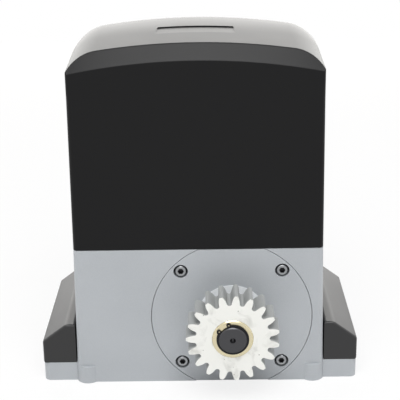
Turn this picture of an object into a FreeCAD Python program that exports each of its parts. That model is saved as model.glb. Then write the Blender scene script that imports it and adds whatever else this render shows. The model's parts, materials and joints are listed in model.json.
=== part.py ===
import FreeCAD, Part
import math
import os
import Sketcher

# Sliding gate motor: a cast gearbox base with side flanges, a moulded top cover,
# an upright motor on a worm gear, and a rack pinion on the gate side.
# Frame, millimetres: X to the right as seen from the gate, Y from the gate towards
# the house, Z up. The origin is the centre of the foundation slots on the underside.

V = FreeCAD.Vector
doc = FreeCAD.newDocument("sliding_gate_motor")
sheet = doc.addObject("Spreadsheet::Sheet", "sizes")


class Size:
    """A number that also knows the spreadsheet expression it comes from."""

    def __init__(self, value, text):
        self.value = value
        self.text = text

    def __add__(self, other):
        return Size(self.value + number(other), f"({self.text} + {words(other)})")

    def __sub__(self, other):
        return Size(self.value - number(other), f"({self.text} - {words(other)})")

    def __mul__(self, other):
        return Size(self.value * number(other), f"({self.text} * {words(other)})")

    def __truediv__(self, other):
        return Size(self.value / number(other), f"({self.text} / {words(other)})")

    def __neg__(self):
        return Size(-self.value, f"(0 - {self.text})")

    def __radd__(self, other):
        return Size(number(other) + self.value, f"({words(other)} + {self.text})")

    def __rsub__(self, other):
        return Size(number(other) - self.value, f"({words(other)} - {self.text})")

    def __rmul__(self, other):
        return Size(number(other) * self.value, f"({words(other)} * {self.text})")


def number(item):
    return item.value if isinstance(item, Size) else float(item)


def words(item):
    return item.text if isinstance(item, Size) else repr(float(item))


def root(item):
    return Size(math.sqrt(number(item)), f"sqrt({words(item)})")


def size(alias, value, meaning):
    """Writes one driving dimension into the sheet and returns it."""
    size.row += 1
    sheet.set(f"A{size.row}", meaning)
    sheet.set(f"B{size.row}", repr(float(value)))
    sheet.setAlias(f"B{size.row}", alias)
    return Size(float(value), f"sizes.{alias}")


size.row = 0

# ---------------------------------------------------------------- driving sizes

# Gearbox base
base_depth = size("base_depth", 150, "front face to rear face of the base")
base_width = size("base_width", 230.8, "width of the base at the floor")
seam_width = size("seam_width", 227, "width of the base at the cover seam")
seam_height = size("seam_height", 134.5, "floor to cover seam")
case_wall = size("case_wall", 5, "wall of the casting")
front_corner = size("front_corner", 4, "radius of the front upright edges")
rear_corner = size("rear_corner", 18, "radius of the rear upright edges")
front_wall = size("front_wall", 18, "wall that holds the output flange")
tray_floor = size("tray_floor", 112, "height of the electronics tray floor")
deck_thickness = size("deck_thickness", 6, "floor of the electronics tray")

# Side flanges and foundation slots
wing_width = size("wing_width", 294.5, "overall width at the front of the flanges")
wing_taper = size("wing_taper", 3, "narrowing of each flange towards the house")
wing_height = size("wing_height", 18.6, "height of the flanges")
wing_length = size("wing_length", 137, "length of the flanges")
wing_setback = size("wing_setback", 4.5, "flange front behind the front face")
wing_corner = size("wing_corner", 6, "radius of the flange corners")
slot_across = size("slot_across", 262, "foundation slots, left to right")
slot_along = size("slot_along", 90, "foundation slots, front to rear")
slot_width = size("slot_width", 11, "width of a foundation slot")
slot_length = size("slot_length", 18, "end to end length of a foundation slot")
foot_radius = size("foot_radius", 11, "radius of the levelling feet")
foot_height = size("foot_height", 17, "height of the levelling feet")
foot_reach = size("foot_reach", 3, "how far a levelling foot stands out")
foot_spacing = size("foot_spacing", 211, "levelling feet, left to right")
levelling_radius = size("levelling_radius", 4, "radius of a levelling screw")
levelling_socket = size("levelling_socket", 2, "inner radius of a levelling screw socket")

# Flange covers
foot_cover_wall = size("foot_cover_wall", 2.5, "wall of a flange cover")
foot_cover_edge = size("foot_cover_edge", 41, "height of the outer edge of a flange cover")
foot_cover_ridge = size("foot_cover_ridge", 57.6, "height of the ridge of a flange cover")
foot_cover_flat = size("foot_cover_flat", 9, "level top of a flange cover beside the base")
foot_cover_gap = size("foot_cover_gap", 0.8, "flange cover to the side of the base")

# Top cover
cover_height = size("cover_height", 323.6, "floor to the crown of the cover")
cover_top_width = size("cover_top_width", 224.8, "width of the cover below the shoulders")
cover_width_drop = size("cover_width_drop", 23.6, "crown down to where the cover width is taken")
cover_wall = size("cover_wall", 3, "wall of the cover")
crown_radius = size("crown_radius", 585, "arch of the roof")
shoulder_radius = size("shoulder_radius", 27, "rounding from the roof to the sides")
brow_drop = size("brow_drop", 13.3, "crown down to the top of the front face")
brow_radius = size("brow_radius", 565, "arch of the top edge of the front face")
brow_slope = size("brow_slope", 1.2, "rise over run of the brow above the front face")
roll_run = size("roll_run", 92, "rear face to where the roof starts to fall")
roof_roll = size("roof_roll", 500, "radius of the roof where it starts to fall")
roof_edge = size("roof_edge", 22, "rounding from the roof to the rear wall")
seam_gap = size("seam_gap", 0.8, "gasket thickness between base and cover")
gasket_inset = size("gasket_inset", 0.9, "gasket behind the outer faces")
gasket_width = size("gasket_width", 1.8, "width of the gasket")
badge_width = size("badge_width", 66, "width of the recess in the roof")
badge_length = size("badge_length", 28, "length of the recess in the roof")
badge_depth = size("badge_depth", 1, "depth of the recess in the roof")
badge_corner = size("badge_corner", 8, "corner radius of the recess in the roof")
badge_front = size("badge_front", 24, "front face to the near side of the recess")
cover_screw_x = size("cover_screw_x", 93, "cover screws to the middle")
cover_screw_rise = size("cover_screw_rise", 8, "cover screws above the cover rim")
cover_lug_half = size("cover_lug_half", 7, "half the width of a cover lug")
cover_lug_depth = size("cover_lug_depth", 12, "depth of a cover lug")
cover_lug_height = size("cover_lug_height", 16, "height of a cover lug")

# Output flange and its screws
output_x = size("output_x", 30, "output shaft to the middle of the base")
output_z = size("output_z", 66.5, "height of the output shaft")
flange_radius = size("flange_radius", 74, "radius of the output flange")
flange_thickness = size("flange_thickness", 10, "thickness of the output flange")
flange_gap = size("flange_gap", 0.5, "gap round the output flange")
flange_hub = size("flange_hub", 34, "radius of the bearing hub behind the flange")
flange_hub_end = size("flange_hub_end", 26, "front face to the end of the bearing hub")
spigot_radius = size("spigot_radius", 51.9, "radius of the locating spigot of the flange")
spigot_end = size("spigot_end", 14, "front face to the end of the locating spigot")
screw_offset = size("screw_offset", 46.3, "flange screws from the shaft, each way")
screw_head = size("screw_head", 5, "radius of a flange screw head")
screw_head_height = size("screw_head_height", 6, "height of a flange screw head")
screw_radius = size("screw_radius", 3, "radius of a flange screw")
screw_length = size("screw_length", 11, "length of a flange screw under its head")
screw_hex = size("screw_hex", 5, "width across flats of a flange screw socket")
screw_hex_depth = size("screw_hex_depth", 3.2, "depth of a flange screw socket")
counterbore = size("counterbore", 6.6, "radius of a counterbore")
counterbore_depth = size("counterbore_depth", 6.6, "depth of a counterbore")
hole_play = size("hole_play", 0.3, "radial play of a screw in its hole")
cap_radius = size("cap_radius", 32, "radius of the seal cap")
cap_depth = size("cap_depth", 4, "depth of the seal cap in the flange")
cap_proud = size("cap_proud", 0.5, "seal cap ahead of the front face")

# Output shaft train, measured from the front face
shaft_radius = size("shaft_radius", 12.5, "radius of the output shaft")
shaft_reach = size("shaft_reach", 48, "output shaft ahead of the front face")
shaft_tail_radius = size("shaft_tail_radius", 10, "radius of the shaft in its rear bearing")
running_play = size("running_play", 0.05, "radial play of a running fit")
body_gap = size("body_gap", 0.3, "gap between pieces that move past each other")
pinion_module = size("pinion_module", 4, "module of the rack pinion")
pinion_teeth = 19
pinion_reach = size("pinion_reach", 44.5, "pinion front ahead of the front face")
pinion_width = size("pinion_width", 26, "face width of the pinion")
insert_radius = size("insert_radius", 18.4, "radius of the pinion hub insert")
insert_proud = size("insert_proud", 0.9, "hub insert ahead of the pinion")
ring_thickness = size("ring_thickness", 1.2, "thickness of the retaining ring")
ring_outer = size("ring_outer", 14.6, "outer radius of the retaining ring")
ring_inner = size("ring_inner", 11.95, "inner radius of the retaining ring")
ring_ear = size("ring_ear", 16.6, "distance from the axis to the tip of a ring ear")
centre_drill = size("centre_drill", 2.6, "radius of the centre hole in the shaft end")
key_width = size("key_width", 8, "width of a shaft key")
key_height = size("key_height", 7, "height of a shaft key")
key_seat = size("key_seat", 4, "depth of a key in the shaft")
spacer_radius = size("spacer_radius", 16, "outer radius of the spacer sleeve")
seal_outer = size("seal_outer", 23.5, "outer radius of the output oil seal")
seal_width = size("seal_width", 7, "width of the output oil seal")
bearing_a_outer = size("bearing_a_outer", 26, "outer radius of the front shaft bearing")
bearing_a_width = size("bearing_a_width", 15, "width of the front shaft bearing")
bearing_a_front = size("bearing_a_front", 9, "front face to the front shaft bearing")
bearing_b_outer = size("bearing_b_outer", 23.5, "outer radius of a 20 mm bearing")
bearing_b_width = size("bearing_b_width", 14, "width of a 20 mm bearing")
bearing_b_front = size("bearing_b_front", 80, "front face to the rear shaft bearing")

# Worm and wheel
wheel_module = size("wheel_module", 3, "module of the worm wheel")
wheel_teeth = 30
wheel_centre = size("wheel_centre", 65, "front face to the middle of the worm wheel")
wheel_width = size("wheel_width", 18, "face width of the worm wheel")
wheel_hub_width = size("wheel_hub_width", 26, "width of the worm wheel hub")
wheel_hub_radius = size("wheel_hub_radius", 24, "radius of the worm wheel hub")
wheel_web = size("wheel_web", 8, "thickness of the worm wheel web")
wheel_rim = size("wheel_rim", 34, "inner radius of the worm wheel rim")
worm_pitch_radius = size("worm_pitch_radius", 15, "pitch radius of the worm")
worm_length = size("worm_length", 34, "length of the worm thread")
worm_backlash = size("worm_backlash", 0.6, "thinning of the worm thread")
chamber_radius = size("chamber_radius", 52, "radius of the gear chamber")
worm_chamber = size("worm_chamber", 21, "radius of the worm chamber")
tower_radius = size("tower_radius", 30, "radius of the worm tower")
tower_top = size("tower_top", 137, "height of the worm tower")

# Clutch of the manual release
clutch_travel = size("clutch_travel", 6, "travel of the release clutch")
clutch_front = size("clutch_front", 36, "front face to the clutch sleeve")
clutch_length = size("clutch_length", 12, "length of the clutch sleeve")
clutch_radius = size("clutch_radius", 20, "outer radius of the clutch sleeve")
dog_reach = size("dog_reach", 6.5, "length of the clutch dogs")
dog_width = size("dog_width", 8, "width of a clutch dog")
rod_radius = size("rod_radius", 4, "radius of the release push rod")
pin_radius = size("pin_radius", 2.5, "radius of the clutch cross pin")

# Release lever on the house side
lever_height = size("lever_height", 42, "height of the release lever")
lever_length = size("lever_length", 98, "lever pivot to the free end")
lever_depth = size("lever_depth", 20, "thickness of the release lever")
lever_gap = size("lever_gap", 0.8, "gap round the release lever")
lever_pivot = size("lever_pivot", 10, "lever pivot inside the rear face")
lever_pin = size("lever_pin", 3, "radius of the lever pivot pin")
recess_depth = size("recess_depth", 26, "depth of the lever recess")
cam_low = size("cam_low", 8, "pivot to the cam face with the lever closed")
plunger_radius = size("plunger_radius", 6, "radius of the release plunger")
lock_radius = size("lock_radius", 9, "radius of the lock barrel")
lock_offset = size("lock_offset", 72, "lever pivot to the lock")
keyhole_width = size("keyhole_width", 2, "width of the keyhole")
rivet_rise = size("rivet_rise", 14, "flap rivet above the lock")
flap_radius = size("flap_radius", 11, "radius of the keyhole flap")
flap_thickness = size("flap_thickness", 2.5, "thickness of the keyhole flap")

# Motor
motor_radius = size("motor_radius", 54, "radius of the stator")
stack_length = size("stack_length", 74, "length of the stator stack")
plate_radius = size("plate_radius", 57, "radius of the motor plate")
plate_thickness = size("plate_thickness", 8, "thickness of the motor plate")
winding_height = size("winding_height", 11, "height of the winding heads")
stator_bore = size("stator_bore", 30.5, "inner radius of the stator")
air_gap = size("air_gap", 0.5, "gap between rotor and stator")
bell_height = size("bell_height", 28, "height of the end bell")
bell_wall = size("bell_wall", 4, "wall of the end bell")
worm_shaft_radius = size("worm_shaft_radius", 10, "radius of the worm shaft at its upper bearing")
rotor_shaft_radius = size("rotor_shaft_radius", 9, "radius of the motor shaft")
tail_shaft_radius = size("tail_shaft_radius", 7.5, "radius of the shaft in the top bearing")
foot_shaft_radius = size("foot_shaft_radius", 8.5, "radius of the shaft in the bottom bearing")
bearing_c_outer = size("bearing_c_outer", 20, "outer radius of the bottom bearing")
bearing_c_width = size("bearing_c_width", 12, "width of the bottom bearing")
bearing_c_floor = size("bearing_c_floor", 14, "height of the bottom bearing")
bearing_d_outer = size("bearing_d_outer", 17.5, "outer radius of the top motor bearing")
bearing_d_width = size("bearing_d_width", 11, "width of the top motor bearing")
race_wall = size("race_wall", 4, "thickness of a bearing race")
bolt_radius = size("bolt_radius", 2.5, "radius of the motor through bolts")
bolt_offset = size("bolt_offset", 35, "through bolts from the motor axis, each way")
bolt_head = size("bolt_head", 4.2, "radius of a through bolt head")
post_radius = size("post_radius", 8, "radius of a post under the motor")

# Electronics
carrier_back = size("carrier_back", 27, "rear face to the board carrier")
carrier_thickness = size("carrier_thickness", 3, "thickness of the board carrier")
carrier_width = size("carrier_width", 74, "width of the board carrier")
carrier_drop = size("carrier_drop", 74, "crown of the cover to the top of the board carrier")
carrier_window = size("carrier_window", 40, "height of the opening below the board carrier")
carrier_foot = size("carrier_foot", 11, "depth of a foot of the board carrier")
board_width = size("board_width", 70, "width of the control board")
board_thickness = size("board_thickness", 1.6, "thickness of the control board")
spacer_height = size("spacer_height", 3, "board above its carrier")
cable_hole = size("cable_hole", 14, "radius of the cable hole in the tray floor")
grommet_bore = size("grommet_bore", 10, "radius of the opening in the cable grommet")
duct_wide = size("duct_wide", 40, "width of the cable duct in the base")
duct_long = size("duct_long", 92, "length of the cable duct in the base")
capacitor_radius = size("capacitor_radius", 17.5, "radius of the start capacitor")
capacitor_height = size("capacitor_height", 75, "height of the start capacitor")
relay_width = size("relay_width", 19, "width of a relay")
relay_height = size("relay_height", 15.5, "height of a relay")
relay_drop = size("relay_drop", 32, "top of the board down to the foot of the relays")
fuse_drop = size("fuse_drop", 36, "top of the board down to the foot of the fuse holder")
processor_side = size("processor_side", 16, "side of the processor")
relay_depth = size("relay_depth", 14, "depth of a relay, out from the board")
fuse_length = size("fuse_length", 24, "length of the fuse holder")
capacitor_x = size("capacitor_x", 86, "start capacitor to the middle")
capacitor_setback = size("capacitor_setback", 37, "front face to the axis of the capacitor")
core_depth = size("core_depth", 30, "thickness of the transformer core")
core_length = size("core_length", 40, "length of the transformer core")
core_height = size("core_height", 42, "height of the transformer core")
core_leg = size("core_leg", 6, "width of an outer leg of the transformer core")
coil_proud = size("coil_proud", 4, "transformer coil beyond its core")
key_angle = 126

ROOT_THREE_HALVES = 0.8660254

# Places worked out from the driving sizes
front_face = -(wing_length / 2 + wing_setback)
rear_face = front_face + base_depth
wing_front = -(wing_length / 2)
wing_rear = wing_length / 2
pinion_front = -pinion_reach
pinion_back = -pinion_reach + pinion_width
wheel_pitch_radius = wheel_module * (wheel_teeth / 2)
motor_x = output_x - wheel_pitch_radius - worm_pitch_radius
motor_y = front_face + wheel_centre
tower_bearing_floor = tower_top - 6 - bearing_b_width
plate_top = tower_top + plate_thickness
stack_floor = plate_top + winding_height + 1.5
stack_top = stack_floor + stack_length
bell_top = stack_top + bell_height
cover_floor = seam_height + seam_gap
cover_shoulder_height = cover_height - cover_width_drop
brow_height = cover_height - brow_drop
roll_start = rear_face - roll_run
pivot_y = rear_face - lever_pivot
rod_end = bearing_b_front + bearing_b_width + clutch_travel + body_gap
recess_floor = base_depth - recess_depth
cam_face = base_depth - lever_pivot - cam_low
cover_screw_z = cover_floor + cover_screw_rise
cover_lug_front = rear_face - cover_wall - cover_lug_depth
carrier_y = rear_face - carrier_back
carrier_x = seam_width / 2 - case_wall - 1 - carrier_width / 2
carrier_leg = carrier_x + carrier_width / 2 - cover_screw_x - cover_lug_half - body_gap
carrier_height = cover_height - carrier_drop - tray_floor
board_height = carrier_height - carrier_window - 8
board_left = carrier_x - board_width / 2
board_y = carrier_y + carrier_thickness + spacer_height
board_front = board_y + board_thickness
board_low = tray_floor + carrier_window + 4
duct_left = -base_width / 2 + case_wall + 2
duct_front = front_face + front_wall
cable_x = duct_left + duct_wide / 2
cable_y = duct_front + duct_long - 24

# ------------------------------------------------------------- modelling helpers

ROLES = {"XY": "XY_Plane", "XZ": "XZ_Plane", "YZ": "YZ_Plane"}
ALONG = {
    "up": FreeCAD.Rotation(),
    "house": FreeCAD.Rotation(V(1, 0, 0), -90),
    "gate": FreeCAD.Rotation(V(1, 0, 0), 90),
    "right": FreeCAD.Rotation(V(0, 1, 0), 90),
}
pieces = []


def bind(item, path, value):
    """Gives a property its value, tied to the sheet where the value is a Size."""
    if isinstance(value, Size):
        item.setExpression(path, value.text)
    else:
        item.setExpression(path, repr(float(value)))


def place(item, x=0, y=0, z=0, along="up"):
    """Sets the Placement of an object, tied to the sheet."""
    item.Placement = FreeCAD.Placement(V(number(x), number(y), number(z)), ALONG[along])
    bind(item, "Placement.Base.x", x)
    bind(item, "Placement.Base.y", y)
    bind(item, "Placement.Base.z", z)
    return item


def piece(item, label):
    """Marks an object as a finished sub-part; its label names its file."""
    item.Label = label
    pieces.append(item)
    return item


def body(name):
    return doc.addObject("PartDesign::Body", name)


def sketch_on(owner, name, plane, offset=None):
    """An empty sketch on an origin plane of its own body, lifted by offset."""
    sketch = owner.newObject("Sketcher::SketchObject", name)
    role = ROLES[plane]
    base = [feature for feature in owner.Origin.OriginFeatures if feature.Role == role][0]
    sketch.AttachmentSupport = [(base, "")]
    sketch.MapMode = "FlatFace"
    if offset is not None:
        sketch.AttachmentOffset = FreeCAD.Placement(V(0, 0, number(offset)), FreeCAD.Rotation())
        bind(sketch, "AttachmentOffset.Base.z", offset)
    return sketch


def pin_point(sketch, edge, end, x, y):
    """Ties one end of a sketch edge to a place in the sheet."""
    for kind, value in (("DistanceX", x), ("DistanceY", y)):
        index = sketch.addConstraint(Sketcher.Constraint(kind, -1, 1, edge, end, number(value)))
        if isinstance(value, Size):
            sketch.setExpression(f"Constraints[{index}]", value.text)


def outline(owner, name, plane, points, offset=None):
    """A closed sketch of straight edges through the given points."""
    sketch = sketch_on(owner, name, plane, offset)
    add_loop(sketch, points)
    return sketch


def add_loop(sketch, points):
    """Adds a closed loop of straight edges through the given points to a sketch."""
    first = sketch.GeometryCount
    places = [V(number(x), number(y), 0) for x, y in points]
    count = len(places)
    for index in range(count):
        line = Part.LineSegment(places[index], places[(index + 1) % count])
        sketch.addGeometry(line, False)
    for index in range(count):
        following = first + (index + 1) % count
        joint = Sketcher.Constraint("Coincident", first + index, 2, following, 1)
        sketch.addConstraint(joint)
    for index, (x, y) in enumerate(points):
        pin_point(sketch, first + index, 1, x, y)


def rounds(owner, name, plane, circles, offset=None):
    """A sketch of full circles, each given as x, y, radius."""
    sketch = sketch_on(owner, name, plane, offset)
    for x, y, radius in circles:
        circle = Part.Circle(V(number(x), number(y), 0), V(0, 0, 1), number(radius))
        edge = sketch.addGeometry(circle, False)
        pin_point(sketch, edge, 3, x, y)
        index = sketch.addConstraint(Sketcher.Constraint("Radius", edge, number(radius)))
        if isinstance(radius, Size):
            sketch.setExpression(f"Constraints[{index}]", radius.text)
    return sketch


def rounded(owner, name, plane, sides, low_radius, high_radius, offset=None):
    """A rectangle (left, right, low, high) with rounded low and high corners."""
    sketch = sketch_on(owner, name, plane, offset)
    left, right, low, high = sides
    corners = [
        (right, low, -1, 1, low_radius, -90),
        (right, high, -1, -1, high_radius, 0),
        (left, high, 1, -1, high_radius, 90),
        (left, low, 1, 1, low_radius, 180),
    ]
    ends = []
    for x, y, inward_x, inward_y, radius, start in corners:
        centre_x = x + radius * inward_x
        centre_y = y + radius * inward_y
        circle = Part.Circle(V(number(centre_x), number(centre_y), 0), V(0, 0, 1),
                             number(radius))
        first = math.radians(start)
        arc = sketch.addGeometry(Part.ArcOfCircle(circle, first, first + math.pi / 2), False)
        flat = (x, centre_y)
        level = (centre_x, y)
        pair = (level, flat) if start in (-90, 90) else (flat, level)
        pin_point(sketch, arc, 1, *pair[0])
        pin_point(sketch, arc, 2, *pair[1])
        index = sketch.addConstraint(Sketcher.Constraint("Radius", arc, number(radius)))
        sketch.setExpression(f"Constraints[{index}]", words(radius))
        ends.append((arc, pair))
    for index in range(4):
        arc, pair = ends[index]
        following, next_pair = ends[(index + 1) % 4]
        start = V(number(pair[1][0]), number(pair[1][1]), 0)
        end = V(number(next_pair[0][0]), number(next_pair[0][1]), 0)
        line = sketch.addGeometry(Part.LineSegment(start, end), False)
        sketch.addConstraint(Sketcher.Constraint("Coincident", arc, 2, line, 1))
        sketch.addConstraint(Sketcher.Constraint("Coincident", line, 2, following, 1))
    return sketch


def oblong(owner, name, plane, centres, length, width, offset=None):
    """A sketch of slots that run along its first axis, one at each centre."""
    sketch = sketch_on(owner, name, plane, offset)
    half = (length - width) / 2
    radius = width / 2
    for x, y in centres:
        first = sketch.GeometryCount
        low = V(number(x - half), number(y), 0)
        high = V(number(x + half), number(y), 0)
        reach = V(0, number(radius), 0)
        left = Part.Circle(low, V(0, 0, 1), number(radius))
        right = Part.Circle(high, V(0, 0, 1), number(radius))
        sketch.addGeometry(Part.LineSegment(low - reach, high - reach), False)
        sketch.addGeometry(Part.ArcOfCircle(right, -math.pi / 2, math.pi / 2), False)
        sketch.addGeometry(Part.LineSegment(high + reach, low + reach), False)
        sketch.addGeometry(Part.ArcOfCircle(left, math.pi / 2, 3 * math.pi / 2), False)
        for index in range(4):
            start = (index + 1) % 4
            joint = Sketcher.Constraint("Coincident", first + index, 2, first + start, 1)
            sketch.addConstraint(joint)
        for edge, side in ((0, -1), (2, 1)):
            sign = -side
            pin_point(sketch, first + edge, 1, x + half * side, y + radius * side)
            pin_point(sketch, first + edge, 2, x + half * sign, y + radius * side)
        for edge, centre in ((1, x + half), (3, x - half)):
            value = Sketcher.Constraint("DistanceX", -1, 1, first + edge, 3, number(centre))
            index = sketch.addConstraint(value)
            sketch.setExpression(f"Constraints[{index}]", centre.text)
    return sketch


def pad(owner, name, sketch, length, reverse=False):
    """Adds the sketch's area, pulled out by length."""
    feature = owner.newObject("PartDesign::Pad", name)
    feature.Profile = sketch
    bind(feature, "Length", length)
    feature.Reversed = reverse
    return feature


def pocket(owner, name, sketch, length, reverse=False, direction=None):
    """Cuts the sketch's area to a depth, and checks that it removed something."""
    doc.recompute()
    before = owner.Shape.Volume
    feature = owner.newObject("PartDesign::Pocket", name)
    feature.Profile = sketch
    bind(feature, "Length", length)
    feature.Reversed = reverse
    if direction is not None:
        feature.UseCustomVector = True
        feature.Direction = direction
    doc.recompute()
    if not feature.Shape.Volume < before - 0.01:
        raise RuntimeError(f"{name} cuts nothing")
    return feature


def turned(name, profile, x=0, y=0, z=0, along="up"):
    """A turned body: the profile is radius and height along its own axis."""
    owner = body(name)
    spin = owner.newObject("PartDesign::Revolution", f"{name}_turning")
    spin.Profile = outline(owner, f"{name}_profile", "XZ", profile)
    spin.ReferenceAxis = (spin.Profile[0], ["V_Axis"])
    spin.Angle = 360
    owner.Tip = spin
    return place(owner, x, y, z, along)


def ring(name, inner, outer, low, high, x=0, y=0, z=0, along="up"):
    """A plain turned ring from low to high along its axis."""
    profile = [(inner, low), (outer, low), (outer, high), (inner, high)]
    return turned(name, profile, x, y, z, along)


def block(name, low, high):
    """A box between two corners, tied to the sheet."""
    item = doc.addObject("Part::Box", name)
    for side, start, end in zip(("Length", "Width", "Height"), low, high):
        bind(item, side, end - start)
    return place(item, *low)


def rod(name, radius, length, x=0, y=0, z=0, along="up"):
    """A plain cylinder, tied to the sheet."""
    item = doc.addObject("Part::Cylinder", name)
    bind(item, "Radius", radius)
    bind(item, "Height", length)
    return place(item, x, y, z, along)


def fused(name, items):
    item = doc.addObject("Part::MultiFuse", name)
    item.Shapes = items
    item.Refine = True
    return item


def cut(name, base, tool):
    item = doc.addObject("Part::Cut", name)
    item.Base = base
    item.Tool = tool
    item.Refine = True
    return item


def common(name, items):
    item = doc.addObject("Part::MultiCommon", name)
    item.Shapes = items
    return item


def group(name, items):
    """Separate solids that share one node."""
    item = doc.addObject("Part::Compound", name)
    item.Links = items
    return item


def copy_at(name, source, x=0, y=0, z=0, along="up"):
    """Another of the same piece, at its own place."""
    item = doc.addObject("Part::Feature", name)
    doc.recompute()
    shape = source.Shape.copy()
    shape.Placement = FreeCAD.Placement()
    item.Shape = shape
    return place(item, x, y, z, along)


def soften(owner, name, test, radius, kind="Fillet"):
    """Rounds or bevels the edges of the body's present shape that pass a test."""
    doc.recompute()
    before = owner.Tip
    chosen = []
    for index, edge in enumerate(before.Shape.Edges):
        if test(edge):
            chosen.append(f"Edge{index + 1}")
    feature = owner.newObject(f"PartDesign::{kind}", name)
    feature.Base = (before, chosen)
    bind(feature, "Radius" if kind == "Fillet" else "Size", radius)
    return feature


def upright(edge):
    """True for an edge that stands nearly upright."""
    ends = [vertex.Point for vertex in edge.Vertexes]
    if len(ends) < 2:
        return False
    run = ends[1] - ends[0]
    return abs(run.z) > 0.95 * run.Length and run.Length > 1


def middle(edge):
    return edge.CenterOfMass


def rectangle(left, right, low, high):
    return [(left, low), (right, low), (right, high), (left, high)]


def hexagon(x, y, across):
    """Corners of a hexagon socket."""
    reach = across / math.sqrt(3)
    corners = []
    for index in range(6):
        angle = math.radians(60 * index)
        corners.append((x + reach * math.cos(angle), y + reach * math.sin(angle)))
    return corners


# ------------------------------------------------------------------ gearbox base


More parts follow.
